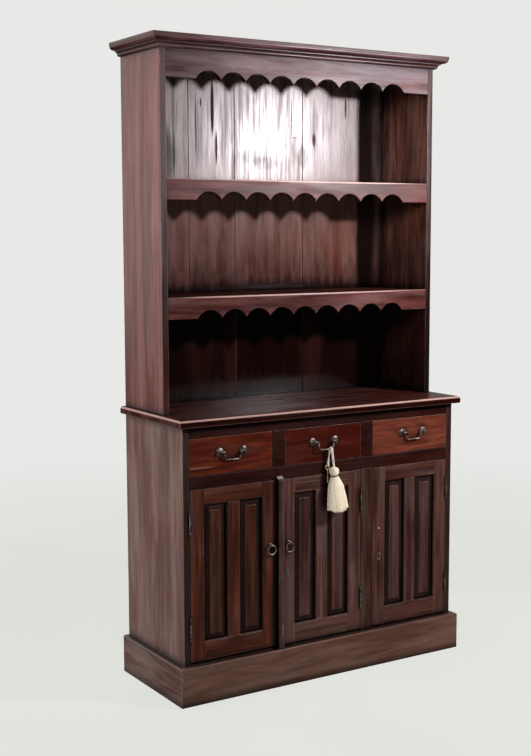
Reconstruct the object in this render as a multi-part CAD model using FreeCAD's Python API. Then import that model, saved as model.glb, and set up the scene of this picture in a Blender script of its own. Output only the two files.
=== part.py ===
import FreeCAD, Part
import math
import os

# Hutch: an open shelved rack with scalloped aprons, standing on a base with three drawers and three doors.
# Millimetres. X runs to the right, Y to the back and Z up.
# The origin lies on the floor, under the middle of the whole piece.

# Overall sizes
total_height = 2050.0
carcass_width = 1056.0      # over the two side panels, base and rack alike
base_depth = 389.0
base_height = 869.0         # floor to the underside of the worktop
rack_depth = 267.0

# Board thicknesses
side_t = 21.0
rail_t = 20.0
shelf_t = 18.0
back_t = 9.0
door_t = 20.0
apron_t = 20.0
board_ease = 0.8            # small chamfer on the edges of a board

# Worktop
worktop_t = 24.0
worktop_front = 23.5        # overhang past the front of the base
worktop_side = 19.5         # overhang past each side
nosing_top_r = 10.0
nosing_under_r = 4.0

# Plinth
plinth_h = 122.5
plinth_t = 20.5
plinth_round = 6.0

# Base front, from the bottom up
bottom_board_up = 2.0       # upper face above the plinth
bottom_board_in = 3.0       # set back from the front
door_gap = 2.0              # beside and above every door
door_low_gap = 6.5          # under the doors
mid_rail_h = 39.0
drawer_row_h = 119.0
top_rail_h = 35.0
bay_3_wider = 18.0          # the right bay is wider than the other two by this
post_w = 45.0               # muntins between the drawers and the post between the doors

# Doors
stile_w = 51.0
door_muntin_w = 49.0
lock_stile_w = 55.0         # the free stile of the right door
door_rail_bottom_h = 62.0
door_rail_top_h = 51.0
sticking = 4.0              # chamfer round each panel opening
panel_field_depth = 5.0     # from the face of the door to the raised field
panel_step = 1.5
panel_bevel_w = 20.0
panel_edge_depth = 10.0     # from the face of the door to the thin edge of the panel
panel_edge_t = 5.0
panel_tongue = 6.0          # how far a panel reaches into its groove
panel_play = 0.2
meeting_left = 10.0         # the gap between the left and the middle door, left of the middle of their opening

# Closing strip on the free edge of the middle door
strip_w = 20.5
strip_proud = 16.0
strip_over_rail = 12.0      # how far it stands above the door, over the rail
strip_below = 6.5           # how far it hangs below the door
strip_bevel = 13.0
strip_relief = 0.6          # gap to the rail behind it

# Drawers
drawer_gap = 1.5
drawer_front_t = 20.0
drawer_side_t = 10.0
drawer_side_h = 88.0
drawer_back_room = 35.0     # between a drawer box and the back boards
drawer_bottom_t = 6.0
drawer_bottom_up = 9.0      # the bottom board lies this far above the lower edge of the sides
drawer_play = 0.4           # between a drawer and its runners
drawer_side_play = 2.0
runner_h = 20.0
runner_lip = 20.0           # how far a runner reaches under a drawer
guide_h = 18.0

# Rack
rack_top_drop = 6.0         # top board below the top of the cornice
frieze_h = 120.0            # down to the points of its scallops
upper_shelf_up = 728.0      # upper face above the worktop
upper_apron_h = 65.0
lower_shelf_up = 363.0
lower_apron_h = 68.0
scallop_count = 9
scallop_pitch = 89.5
scallop_rise = 26.0
scallop_ease = 0.6
back_joints = (-291.0, -114.0, 162.0)   # joints between the vertical back boards
back_joint_gap = 0.6
back_rebate = 9.0

# Cornice, as distances out from the carcass and down from the top
cornice_out = 39.0
cornice_h = 41.0
cornice_fillet_h = 9.0
cornice_ovolo_out = 24.0
cornice_ovolo_down = 23.0
cornice_step_out = 20.0
cornice_step_down = 26.5
cornice_cove_out = 12.0
cornice_cove_down = 33.0
cornice_bead_in = 1.0
cornice_foot_out = 5.0

# Inside the base
cupboard_shelf_up = 280.5   # upper face above the bottom board
cupboard_shelf_back = 45.0  # set back from the front
cupboard_shelf_t = 16.0
batten = 18.0
partition_t = 18.0
back_rail_h = 40.0
foot_rail_h = 90.0
foot_rail_t = 20.0

# Hinges
hinge_h = 70.0
hinge_low_up = 109.0        # middle of the lower hinge above the foot of the door
hinge_high_down = 100.0     # middle of the upper hinge below the top of the door
leaf_t = 1.6
leaf_w = 16.0
leaf_play = 0.1
knuckle_r = 3.0
knuckle_out = 3.4           # hinge axis in front of the face
knuckle_count = 3
knuckle_gap = 0.3
pin_r = 1.6
pin_play = 0.05
pin_head_r = 2.6
pin_head_h = 2.0

# Bail handles
bail_spacing = 86.0         # between the two posts
bail_up = 9.2               # pivots above the middle of the drawer
bail_out = 13.0             # pivot in front of the drawer
handle_3_right = 8.0        # the right handle sits beside the middle of its drawer
bail_lies_back = 11.0       # degrees: the outer handles hang towards their drawers
bail_held_out = 9.0         # degrees: the cord keeps the middle one away
bail_r = 2.3
bail_neck = 13.0            # level piece between post and leg
bail_slant = 4.0
bail_drop = 26.0
bail_bend_r = 5.0
bail_corner_r = 7.0
bail_seat = 2.5             # how far the end passes the middle of its post
rosette_r = 14.0
rosette_rim = 1.4
rosette_h = 6.0
post_r = 3.2
post_ball_r = 4.4
bail_play = 0.3

# Ring pulls
ring_1_in = 20.5            # from the free edge of the left door
ring_2_in = 27.0            # from the closing strip on the middle door
ring_up = 335.0             # above the foot of the doors
ring_r = 15.0
ring_wire_r = 2.0
ring_out = 9.0
ring_play = 0.6
eye_r = 4.8
eye_w = 4.5
stud_base_r = 7.0
stud_base_h = 2.0
stud_r = 2.8

# Locks
lock_up = 239.0             # above the foot of the doors
keyhole_2_in = 22.0         # from the closing strip; the other one is in the middle of its stile
keyhole_r = 2.8
keyhole_slot_w = 2.8
keyhole_slot_h = 9.0
escutcheon_w = 16.0
escutcheon_h = 30.0
escutcheon_t = 1.4
lock_case_h = 54.0
lock_case_depth = 11.0      # from the back of the door
lock_case_set_in = 3.0      # from the edge of the door
lock_case_past = 16.0       # past the keyhole
bolt_h = 14.0
bolt_t = 6.0
bolt_y_in = 11.5            # from the face of the door
bolt_set_in = 0.5
bolt_play = 0.3
bolt_throw = 9.0
bolt_mortise = 12.0
bolt_to_keyhole = 5.0
stub_r = 1.8                # broken stem of the pull on the right door
stub_out = 1.5

# Key, cord loop and tassel on the middle handle
loop_right = 17.0           # where the cord hangs on the bar, from the middle of the handle
cord_r = 1.8
cord_play = 0.6
strand_spacing = 4.8
key_right = 7.0
key_drop = 60.0             # middle of the bow below the bar
key_bow_r = 7.6
key_wire_r = 1.8
key_shank_r = 2.0
key_length = 61.0
key_bit_w = 5.5
key_bit_h = 7.0
key_bit_up = 2.0
key_bit_t = 2.4
head_right = 25.5
head_out = 23.0
head_drop = 71.5
head_r = 16.0
head_half_h = 12.0
head_top_r = 6.0            # flat where the cord goes in
cord_in_head = 4.0
socket_play = 0.05
band_r = 12.5
band_h = 8.0
band_swell = 1.2
skirt_lobes = 10
skirt_lobe_depth = 0.06     # share of the local radius
# height below the band, middle right of the handle, middle in front of the doors, half width, half depth
skirt_sections = (
    (0.0, 28.0, 23.0, 13.5, 12.5),
    (6.0, 28.5, 23.3, 16.5, 14.5),
    (28.0, 31.0, 24.5, 28.0, 19.0),
    (68.0, 34.5, 26.0, 35.5, 21.0),
    (117.0, 39.0, 28.0, 42.0, 24.5),
)

# Places that follow from the sizes
half_w = carcass_width / 2
inner_x = half_w - side_t
back_y = (base_depth + worktop_front) / 2
front_y = back_y - base_depth
rack_front_y = back_y - rack_depth
inner_back_y = back_y - back_t
worktop_top = base_height + worktop_t
rack_top_z = total_height - rack_top_drop
frieze_low_z = rack_top_z - frieze_h
upper_shelf_z = worktop_top + upper_shelf_up
lower_shelf_z = worktop_top + lower_shelf_up
bottom_board_top = plinth_h + bottom_board_up
cupboard_shelf_z = bottom_board_top + cupboard_shelf_up
mid_rail_top = base_height - top_rail_h - drawer_row_h
mid_rail_bottom = mid_rail_top - mid_rail_h
bay_w = (2 * inner_x - 2 * post_w - bay_3_wider) / 3
post_1_x0 = -inner_x + bay_w
post_1_x1 = post_1_x0 + post_w
post_2_x0 = post_1_x1 + bay_w
post_2_x1 = post_2_x0 + post_w
post_2_mid = (post_2_x0 + post_2_x1) / 2
drawer_box_d = base_depth - drawer_front_t - back_t - drawer_back_room
door_bottom = bottom_board_top + door_low_gap
door_top = mid_rail_bottom - door_gap
meeting_x = (post_2_x0 - inner_x) / 2 - meeting_left
free_edge_1 = meeting_x - door_gap / 2
free_edge_2 = meeting_x + door_gap / 2
free_edge_3 = post_2_x1 + door_gap
axis_y = front_y - knuckle_out
hinge_low_z = door_bottom + hinge_low_up
hinge_high_z = door_top - hinge_high_down
ring_y = front_y - ring_out
ring_z = door_bottom + ring_up
ring_1_x = free_edge_1 - ring_1_in
ring_2_x = free_edge_2 + strip_w + ring_2_in
lock_z = door_bottom + lock_up
keyhole_2_x = free_edge_2 + strip_w + keyhole_2_in
keyhole_3_x = free_edge_3 + lock_stile_w / 2
bail_y = front_y - bail_out
bail_z = mid_rail_top + drawer_row_h / 2 + bail_up
bar_y = bail_y - bail_drop * math.sin(math.radians(bail_held_out))
bar_z = bail_z - bail_drop * math.cos(math.radians(bail_held_out))
handle_x = (post_1_x1 + post_2_x0) / 2
loop_x = handle_x + loop_right
key_x = handle_x + key_right
key_bow_z = bar_z - key_drop
head_x = handle_x + head_right
head_z = bar_z - head_drop


def vec(x, y, z):
    return FreeCAD.Vector(x, y, z)


def box(x0, x1, y0, y1, z0, z1):
    return Part.makeBox(x1 - x0, y1 - y0, z1 - z0, vec(x0, y0, z0))


def board(x0, x1, y0, y1, z0, z1):
    """A plain board with eased edges."""
    plain = box(x0, x1, y0, y1, z0, z1)
    return plain.makeChamfer(board_ease, plain.Edges)


def fused(solids):
    """One solid from several that touch or overlap."""
    whole = solids[0]
    for solid in solids[1:]:
        whole = whole.fuse(solid)
    return whole.removeSplitter()


def face_of(edges):
    return Part.Face(Part.Wire(edges))


def polyline(points):
    """Straight edges through the points."""
    return [Part.LineSegment(a, b).toShape() for a, b in zip(points, points[1:])]


def rounded_path(points, radii):
    """Straight runs through the points, joined by tangent arcs of the radii given for the inner points."""
    edges = []
    start = points[0]
    for a, b, c, radius in zip(points, points[1:], points[2:], radii):
        to_a = (a - b).normalize()
        to_c = (c - b).normalize()
        turn = math.pi - to_a.getAngle(to_c)
        set_back = radius * math.tan(turn / 2)
        first = b + to_a * set_back
        last = b + to_c * set_back
        centre = b + (to_a + to_c).normalize() * (radius / math.cos(turn / 2))
        middle = centre + (b - centre).normalize() * radius
        edges.append(Part.LineSegment(start, first).toShape())
        edges.append(Part.Arc(first, middle, last).toShape())
        start = last
    edges.append(Part.LineSegment(start, points[-1]).toShape())
    return Part.Wire(edges)


def tube(points, radii, r):
    """A round bar of radius r along a rounded path."""
    path = rounded_path(points, radii)
    section = Part.Wire(Part.makeCircle(r, points[0], points[1] - points[0]))
    return path.makePipeShell([section], True, False)


def turned(edges_of, x, z):
    """A piece turned about a line along Y. edges_of gives its outline for a function of radius and distance out."""
    def at(radius, out):
        return vec(x + radius, front_y - out, z)
    outline = face_of(edges_of(at))
    return outline.revolve(vec(x, front_y, z), vec(0, 1, 0), 360)


def plan_prism(points, z0, z1):
    """An upright prism over the plan points."""
    corners = [vec(x, y, z0) for x, y in points]
    return face_of(polyline(corners + corners[:1])).extrude(vec(0, 0, z1 - z0))


def export(name, solids):
    """Writes one node, of one solid or of several alike."""
    shape = solids[0] if len(solids) == 1 else Part.makeCompound(solids)
    shape.exportStep("parts/" + name + ".step")


# Mouldings that run round the front and both sides, mitred at the two front corners

def front_run(profile, front, out):
    """The length along the front of a moulding. profile gives its outline for a function of out and height."""
    outline = face_of(profile(lambda p, z: vec(-half_w - out, front - p, z)))
    length = outline.extrude(vec(carcass_width + 2 * out, 0, 0))
    bb = length.BoundBox
    mitred = plan_prism(
        ((-half_w, front), (-half_w - out, front - out), (half_w + out, front - out), (half_w, front)),
        bb.ZMin, bb.ZMax)
    return length.common(mitred)


def side_run(profile, front, out, side):
    """The length along one side of a moulding, side being -1 for the left and 1 for the right."""
    outline = face_of(profile(lambda p, z: vec(side * (half_w + p), front - out, z)))
    length = outline.extrude(vec(0, back_y - front + out, 0))
    bb = length.BoundBox
    mitred = plan_prism(
        ((side * half_w, front), (side * (half_w + out), front - out), (side * (half_w + out), back_y),
         (side * half_w, back_y)),
        bb.ZMin, bb.ZMax)
    return length.common(mitred)


def plinth_profile(at):
    """A flat board with a rounded upper edge."""
    slope = plinth_round * math.sqrt(0.5)
    arc_mid = at(plinth_t - plinth_round + slope, plinth_h - plinth_round + slope)
    edges = polyline([at(plinth_t - plinth_round, plinth_h), at(0, plinth_h), at(0, 0), at(plinth_t, 0),
                      at(plinth_t, plinth_h - plinth_round)])
    edges.append(Part.Arc(at(plinth_t, plinth_h - plinth_round), arc_mid,
                          at(plinth_t - plinth_round, plinth_h)).toShape())
    return edges


def cornice_profile(at):
    """Flat band, ovolo, small step, cove and bead, from the top down."""
    top = total_height
    ovolo_top = at(cornice_out - 1.5, top - cornice_fillet_h)
    ovolo_mid = at(cornice_out - 4.5, top - cornice_ovolo_down + 4.5)
    ovolo_end = at(cornice_ovolo_out, top - cornice_ovolo_down)
    cove_top = at(cornice_step_out, top - cornice_step_down)
    cove_mid = at(cornice_cove_out + 2.2, top - cornice_step_down - 2.2)
    cove_end = at(cornice_cove_out, top - cornice_cove_down)
    bead_top = at(cornice_cove_out - cornice_bead_in, top - cornice_cove_down)
    bead_mid = at(cornice_cove_out - cornice_bead_in - 1.4, top - cornice_h + 2.4)
    bead_end = at(cornice_foot_out, top - cornice_h)
    edges = polyline([bead_end, at(0, top - cornice_h), at(0, top), at(cornice_out, top),
                      at(cornice_out, top - cornice_fillet_h), ovolo_top])
    edges.append(Part.Arc(ovolo_top, ovolo_mid, ovolo_end).toShape())
    edges += polyline([ovolo_end, at(cornice_step_out, top - cornice_ovolo_down), cove_top])
    edges.append(Part.Arc(cove_top, cove_mid, cove_end).toShape())
    edges += polyline([cove_end, bead_top])
    edges.append(Part.Arc(bead_top, bead_mid, bead_end).toShape())
    return edges


# Carcass of the base

def back_rebate_tool(side, z0, z1):
    """The rebate along the back edge of a side panel, which the back boards lie in."""
    x0, x1 = sorted((side * inner_x, side * (inner_x + back_rebate)))
    return box(x0, x1, inner_back_y, back_y, z0, z1)


def leaf_recess(edge_x, into, z):
    """The shallow recess for one hinge leaf in an edge at edge_x, cut towards the side that into points to."""
    depth = leaf_t + leaf_play
    x0, x1 = sorted((edge_x, edge_x + into * depth))
    half = hinge_h / 2 + leaf_play
    return box(x0, x1, front_y - 1, front_y + leaf_w + leaf_play, z - half, z + half)


def both_recesses(edge_x, into):
    return [leaf_recess(edge_x, into, z) for z in (hinge_low_z, hinge_high_z)]


def lower_side(side):
    x0, x1 = sorted((side * inner_x, side * half_w))
    panel = board(x0, x1, front_y, back_y, 0, base_height)
    panel = panel.cut(back_rebate_tool(side, 0, base_height))
    return panel.cut(both_recesses(side * inner_x, side))


def back_boards(z0, z1):
    """Upright boards from rebate to rebate, with a fine gap at each joint."""
    edges = (-inner_x - back_rebate,) + back_joints + (inner_x + back_rebate,)
    gap = back_joint_gap / 2
    boards = []
    for left, right in zip(edges, edges[1:]):
        x0 = left if left == edges[0] else left + gap
        x1 = right if right == edges[-1] else right - gap
        boards.append(board(x0, x1, inner_back_y, back_y, z0, z1))
    return boards


def worktop():
    slab = box(-half_w - worktop_side, half_w + worktop_side, front_y - worktop_front, back_y,
               base_height, worktop_top)
    nosed = [e for e in slab.Edges if e.BoundBox.ZLength < 1e-6 and e.BoundBox.YMin < back_y - 1e-6]
    upper = [e for e in nosed if e.BoundBox.ZMin > base_height + worktop_t / 2]
    slab = slab.makeFillet(nosing_top_r, upper)
    under = [e for e in slab.Edges
             if e.BoundBox.ZMax < base_height + 1e-6 and e.BoundBox.YMin < back_y - 1e-6]
    return slab.makeFillet(nosing_under_r, under)


def door_post():
    """The post between the middle and the right door, with the mortise for the bolt of the right door."""
    post = board(post_2_x0, post_2_x1, front_y, front_y + rail_t, bottom_board_top, mid_rail_bottom)
    post = post.cut(both_recesses(post_2_x0, 1))
    return post.cut(bolt_tool(post_2_x1 - bolt_mortise, post_2_x1 + 1))


def partition():
    """The upright board behind the post, notched over the rail at the back."""
    x0 = post_2_mid - partition_t / 2
    x1 = post_2_mid + partition_t / 2
    whole = board(x0, x1, front_y + rail_t, inner_back_y, bottom_board_top, mid_rail_top - runner_h)
    notch = box(x0 - 1, x1 + 1, inner_back_y - rail_t, inner_back_y + 1,
                mid_rail_top - runner_h - back_rail_h, mid_rail_top - runner_h + 1)
    return whole.cut(notch)


def drawer_runners():
    """A runner at each side panel, and one with a raised guide behind each muntin."""
    z0 = mid_rail_top - runner_h
    y0 = front_y + rail_t
    runners = [board(-inner_x, -inner_x + runner_lip, y0, inner_back_y, z0, mid_rail_top),
               board(inner_x - runner_lip, inner_x, y0, inner_back_y, z0, mid_rail_top)]
    for x0, x1 in ((post_1_x0, post_1_x1), (post_2_x0, post_2_x1)):
        wide = board(x0 - runner_lip, x1 + runner_lip, y0, inner_back_y, z0, mid_rail_top)
        guide = box(x0, x1, y0, inner_back_y, mid_rail_top, mid_rail_top + guide_h)
        runners.append(fused([wide, guide]))
    return runners


def cupboard_shelves():
    y0 = front_y + cupboard_shelf_back
    z0 = cupboard_shelf_z - cupboard_shelf_t
    wall = partition_t / 2
    return [board(-inner_x, post_2_mid - wall, y0, inner_back_y, z0, cupboard_shelf_z),
            board(post_2_mid + wall, inner_x, y0, inner_back_y, z0, cupboard_shelf_z)]


def shelf_battens():
    y0 = front_y + cupboard_shelf_back + batten
    z1 = cupboard_shelf_z - cupboard_shelf_t
    wall = partition_t / 2
    starts = (-inner_x, post_2_mid - wall - batten, post_2_mid + wall, inner_x - batten)
    return [board(x, x + batten, y0, inner_back_y, z1 - batten, z1) for x in starts]


# Rack

def upper_side(side):
    x0, x1 = sorted((side * inner_x, side * half_w))
    panel = board(x0, x1, rack_front_y, back_y, worktop_top, rack_top_z)
    return panel.cut(back_rebate_tool(side, worktop_top, rack_top_z))


def scalloped(z_low, z_high):
    """A board across the front of the rack whose lower edge is a row of scallops between two flats."""
    first = -scallop_count * scallop_pitch / 2
    edges = polyline([vec(first, rack_front_y, z_low), vec(-inner_x, rack_front_y, z_low),
                      vec(-inner_x, rack_front_y, z_high), vec(inner_x, rack_front_y, z_high),
                      vec(inner_x, rack_front_y, z_low), vec(-first, rack_front_y, z_low)])
    for i in range(scallop_count):
        x1 = -first - i * scallop_pitch
        x0 = x1 - scallop_pitch
        crown = vec((x0 + x1) / 2, rack_front_y, z_low + scallop_rise)
        edges.append(Part.Arc(vec(x1, rack_front_y, z_low), crown, vec(x0, rack_front_y, z_low)).toShape())
    whole = face_of(edges).extrude(vec(0, apron_t, 0))
    eased = [e for e in whole.Edges if e.BoundBox.YMax < rack_front_y + 1e-6]
    return whole.makeChamfer(scallop_ease, eased)


def rack_shelf(z_top):
    return board(-inner_x, inner_x, rack_front_y + apron_t, inner_back_y, z_top - shelf_t, z_top)


# Doors

def door_spans():
    """Left and right edge, left and right stile width of each door, from the left."""
    return ((-inner_x + door_gap, free_edge_1, stile_w, stile_w),
            (free_edge_2, post_2_x0 - door_gap, stile_w + strip_w, stile_w),
            (free_edge_3, inner_x - door_gap, lock_stile_w, stile_w))


def panel_openings(span):
    """The two openings of a door, each as x0, x1."""
    x0, x1, left_w, right_w = span
    opening = (x1 - x0 - left_w - right_w - door_muntin_w) / 2
    first = x0 + left_w
    second = first + opening + door_muntin_w
    return ((first, first + opening), (second, second + opening))


def opening_heights():
    return door_bottom + door_rail_bottom_h, door_top - door_rail_top_h


def bolt_tool(x0, x1):
    """The channel that a bolt slides in, from x0 to x1."""
    y0 = front_y + bolt_y_in - bolt_play
    y1 = front_y + bolt_y_in + bolt_t + bolt_play
    half = bolt_h / 2 + bolt_play
    return box(x0, x1, y0, y1, lock_z - half, lock_z + half)


def keyhole_tool(x, y0, y1):
    """A round hole with a slot under it."""
    hole = Part.makeCylinder(keyhole_r, y1 - y0, vec(x, y0, lock_z), vec(0, 1, 0))
    slot = box(x - keyhole_slot_w / 2, x + keyhole_slot_w / 2, y0, y1, lock_z - keyhole_slot_h, lock_z)
    return hole.fuse(slot)


def lock_case_box(edge_x, keyhole_x):
    half = lock_case_h / 2
    return box(edge_x + lock_case_set_in, keyhole_x + lock_case_past,
               front_y + door_t - lock_case_depth, front_y + door_t, lock_z - half, lock_z + half)


def panel_tools(x0, x1):
    """What one panel takes out of the frame: the chamfer round the opening, and the groove."""
    z0, z1 = opening_heights()
    s = sticking
    chamfer = Part.makeWedge(x0 - s, front_y, z0 - s, z0, x0, x1 + s, front_y + s, z1 + s, z1, x1)
    reach = panel_tongue + 1
    groove_y = front_y + panel_edge_depth - panel_play
    groove = box(x0 - reach, x1 + reach, groove_y, groove_y + panel_edge_t + 2 * panel_play,
                 z0 - reach, z1 + reach)
    return [chamfer, groove]


def door_frame(span, tools):
    """Two stiles, two rails and a muntin, cut by the tools."""
    x0, x1, left_w, right_w = span
    z0, z1 = opening_heights()
    openings = panel_openings(span)
    y0 = front_y
    y1 = front_y + door_t
    outline = board(x0, x1, y0, y1, door_bottom, door_top)
    plain = [box(x0, x0 + left_w, y0, y1, door_bottom, door_top),
             box(x1 - right_w, x1, y0, y1, door_bottom, door_top),
             box(x0 + left_w, x1 - right_w, y0, y1, door_bottom, z0),
             box(x0 + left_w, x1 - right_w, y0, y1, z1, door_top),
             box(openings[0][1], openings[1][0], y0, y1, z0, z1)]
    for opening in openings:
        tools = tools + panel_tools(*opening)
    return [piece.common(outline).cut(tools) for piece in plain]


def raised_panel(x0, x1):
    """A thin edge in the groove, a broad bevel, and a field raised by a small step."""
    z0, z1 = opening_heights()
    reach = panel_tongue
    bevel = panel_bevel_w
    edge_y = front_y + panel_edge_depth
    bevel_y = front_y + panel_field_depth + panel_step
    tongue = box(x0 - reach, x1 + reach, edge_y, edge_y + panel_edge_t, z0 - reach, z1 + reach)
    slope = Part.makeWedge(x0 + bevel, bevel_y, z0 + bevel, z0, x0, x1 - bevel, edge_y, z1 - bevel, z1, x1)
    field = box(x0 + bevel, x1 - bevel, front_y + panel_field_depth, bevel_y, z0 + bevel, z1 - bevel)
    return fused([tongue, slope, field])


def closing_strip():
    """The upright strip on the free edge of the middle door, bevelled at the top and eased behind the rail."""
    x0 = free_edge_2
    top = door_top + strip_over_rail
    low = door_bottom - strip_below
    back = front_y - strip_relief
    face = front_y - strip_proud
    points = [vec(x0, front_y, door_bottom), vec(x0, front_y, door_top), vec(x0, back, door_top),
              vec(x0, back, top), vec(x0, face, top - strip_bevel), vec(x0, face, low),
              vec(x0, back, low), vec(x0, back, door_bottom), vec(x0, front_y, door_bottom)]
    strip = face_of(polyline(points)).extrude(vec(strip_w, 0, 0))
    arris = [e for e in strip.Edges
             if e.BoundBox.YMax < face + 1e-6 and e.BoundBox.ZLength > strip_w]
    return strip.makeFillet(board_ease * 2, arris)


# Hinges

def knuckle_spans(z, own):
    """Heights of the knuckles that belong to one leaf: every second one from the foot, or those between."""
    pitch = hinge_h / knuckle_count
    low = z - hinge_h / 2
    return [(low + i * pitch + knuckle_gap / 2, low + (i + 1) * pitch - knuckle_gap / 2)
            for i in range(knuckle_count) if i % 2 == own]


def hinge_leaf(axis_x, side, z, own):
    """One leaf with its knuckles. side points from the axis to the wood that carries it."""
    near = axis_x + side * door_gap / 2
    far = near + side * leaf_t
    x0, x1 = sorted((near, far))
    plate = box(x0, x1, front_y, front_y + leaf_w, z - hinge_h / 2, z + hinge_h / 2)
    pieces = [plate]
    for z0, z1 in knuckle_spans(z, own):
        pieces.append(Part.makeCylinder(knuckle_r, z1 - z0, vec(axis_x, axis_y, z0)))
        t0, t1 = sorted((axis_x, far))
        pieces.append(box(t0, t1, axis_y, front_y + leaf_t, z0, z1))
    bore = Part.makeCylinder(pin_r + pin_play, hinge_h + 2, vec(axis_x, axis_y, z - hinge_h / 2 - 1))
    return fused(pieces).cut(bore)


def hinge_pin(axis_x, z):
    """The pin, with a small flat head at each end."""
    low = z - hinge_h / 2
    pin = Part.makeCylinder(pin_r, hinge_h, vec(axis_x, axis_y, low))
    foot = Part.makeCylinder(pin_head_r, pin_head_h, vec(axis_x, axis_y, low - pin_head_h))
    head = Part.makeCylinder(pin_head_r, pin_head_h, vec(axis_x, axis_y, low + hinge_h))
    return fused([pin, foot, head])


def hinge_places():
    """Hinge axis of each door and the side on which the door lies."""
    half_gap = door_gap / 2
    return ((-inner_x + half_gap, 1), (post_2_x0 - half_gap, -1), (inner_x - half_gap, -1))


def frame_hinges():
    """The fixed leaves and the pins of all six hinges."""
    solids = []
    for axis_x, side in hinge_places():
        for z in (hinge_low_z, hinge_high_z):
            solids.append(hinge_leaf(axis_x, -side, z, 0))
            solids.append(hinge_pin(axis_x, z))
    return solids


def door_leaves(axis_x, side):
    return [hinge_leaf(axis_x, side, z, 1) for z in (hinge_low_z, hinge_high_z)]


# Fittings of the doors

def ring_stud(x):
    """A round foot, a stem and a flattened eye that the ring hangs in."""
    foot = Part.makeCylinder(stud_base_r, stud_base_h, vec(x, front_y, ring_z), vec(0, -1, 0))
    rim = [e for e in foot.Edges if e.BoundBox.YMax < front_y - stud_base_h + 1e-6]
    foot = foot.makeFillet(stud_base_h / 2, rim)
    stem = Part.makeCylinder(stud_r, ring_out, vec(x, front_y, ring_z), vec(0, -1, 0))
    eye = Part.makeSphere(eye_r, vec(x, ring_y, ring_z))
    eye = eye.common(box(x - eye_w / 2, x + eye_w / 2, ring_y - eye_r, ring_y + eye_r,
                         ring_z - eye_r, ring_z + eye_r))
    hole = Part.makeCylinder(ring_wire_r + ring_play, 2 * eye_r, vec(x - eye_r, ring_y, ring_z), vec(1, 0, 0))
    return fused([foot, stem, eye]).cut(hole)


def ring(x):
    return Part.makeTorus(ring_r, ring_wire_r, vec(x, ring_y, ring_z - ring_r), vec(0, 1, 0))


def escutcheon(x):
    """An oval plate with a keyhole."""
    oval = Part.Ellipse(vec(0, 0, 0), escutcheon_h / 2, escutcheon_w / 2).toShape()
    plate = Part.Face(Part.Wire(oval)).extrude(vec(0, 0, escutcheon_t))
    plate.rotate(vec(0, 0, 0), vec(0, 0, 1), 90)
    plate.rotate(vec(0, 0, 0), vec(1, 0, 0), 90)
    plate.translate(vec(x, front_y, lock_z))
    return plate.cut(keyhole_tool(x, front_y - escutcheon_t - 1, front_y + 1))


def lock_case(edge_x, keyhole_x):
    """The lock let into the back of the door, open where the bolt slides and under the keyhole."""
    case = lock_case_box(edge_x, keyhole_x)
    channel = bolt_tool(edge_x, keyhole_x - bolt_to_keyhole + bolt_play)
    keyway = keyhole_tool(keyhole_x, front_y, front_y + bolt_y_in + bolt_t)
    return case.cut([channel, keyway])


def lock_tools(edge_x, keyhole_x):
    """What a lock takes out of its stile."""
    return [lock_case_box(edge_x, keyhole_x), bolt_tool(edge_x - 1, edge_x + lock_case_set_in),
            keyhole_tool(keyhole_x, front_y - 1, front_y + door_t - lock_case_depth)]


def lock_bolt(edge_x, keyhole_x):
    y0 = front_y + bolt_y_in
    half = bolt_h / 2
    return board(edge_x + bolt_set_in, keyhole_x - bolt_to_keyhole, y0, y0 + bolt_t, lock_z - half, lock_z + half)


def pull_stub():
    """The broken stem of the missing pull, left in the right door."""
    return Part.makeCylinder(stub_r, stub_out + door_t / 2, vec(keyhole_3_x, front_y - stub_out, ring_z), vec(0, 1, 0))


# Drawers

def drawer_bays():
    return ((-inner_x, post_1_x0), (post_1_x1, post_2_x0), (post_2_x1, inner_x))


def drawer_front(x0, x1):
    return board(x0 + drawer_gap, x1 - drawer_gap, front_y, front_y + drawer_front_t,
                 mid_rail_top + drawer_gap, mid_rail_top + drawer_row_h - drawer_gap)


def drawer_box(x0, x1):
    """Two sides, the back and the bottom, which lies in grooves in the sides."""
    left = x0 + drawer_side_play
    right = x1 - drawer_side_play
    y0 = front_y + drawer_front_t
    y1 = y0 + drawer_box_d
    z0 = mid_rail_top + drawer_play
    z1 = z0 + drawer_side_h
    floor_z = z0 + drawer_bottom_up
    inset = drawer_side_t / 2
    groove = box(left + inset, right - inset, y0 - 1, y1 + 1, floor_z, floor_z + drawer_bottom_t)
    sides = [board(left, left + drawer_side_t, y0, y1, z0, z1),
             board(right - drawer_side_t, right, y0, y1, z0, z1)]
    back = board(left + drawer_side_t, right - drawer_side_t, y1 - drawer_side_t, y1,
                 floor_z + drawer_bottom_t, z1 - drawer_side_t)
    bottom = box(left + inset, right - inset, y0, y1, floor_z, floor_z + drawer_bottom_t)
    return [side.cut(groove) for side in sides] + [back, bottom]


def rosette_outline(at):
    edges = polyline([at(0, rosette_h + 1), at(0, 0), at(rosette_r, 0), at(rosette_r, rosette_rim)])
    dome = at(rosette_r * 0.72, rosette_h * 0.8)
    shoulder = at(post_r + 1, rosette_h)
    edges.append(Part.Arc(at(rosette_r, rosette_rim), dome, shoulder).toShape())
    edges += polyline([shoulder, at(post_r, rosette_h + 1), at(0, rosette_h + 1)])
    return edges


def handle_post(x, inward):
    """A domed rosette, a stem and a ball, bored from the inner side for the end of the bail."""
    rosette = turned(rosette_outline, x, bail_z)
    stem = Part.makeCylinder(post_r, bail_out - rosette_h, vec(x, front_y - rosette_h, bail_z), vec(0, -1, 0))
    ball = Part.makeSphere(post_ball_r, vec(x, bail_y, bail_z))
    depth = post_ball_r + bail_seat + bail_play
    bore = Part.makeCylinder(bail_r + bail_play, depth + 1,
                             vec(x - inward * (bail_seat + bail_play), bail_y, bail_z), vec(inward, 0, 0))
    return fused([rosette, stem, ball]).cut(bore)


def handle_posts(mid):
    half = bail_spacing / 2
    return [handle_post(mid - half, 1), handle_post(mid + half, -1)]


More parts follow.
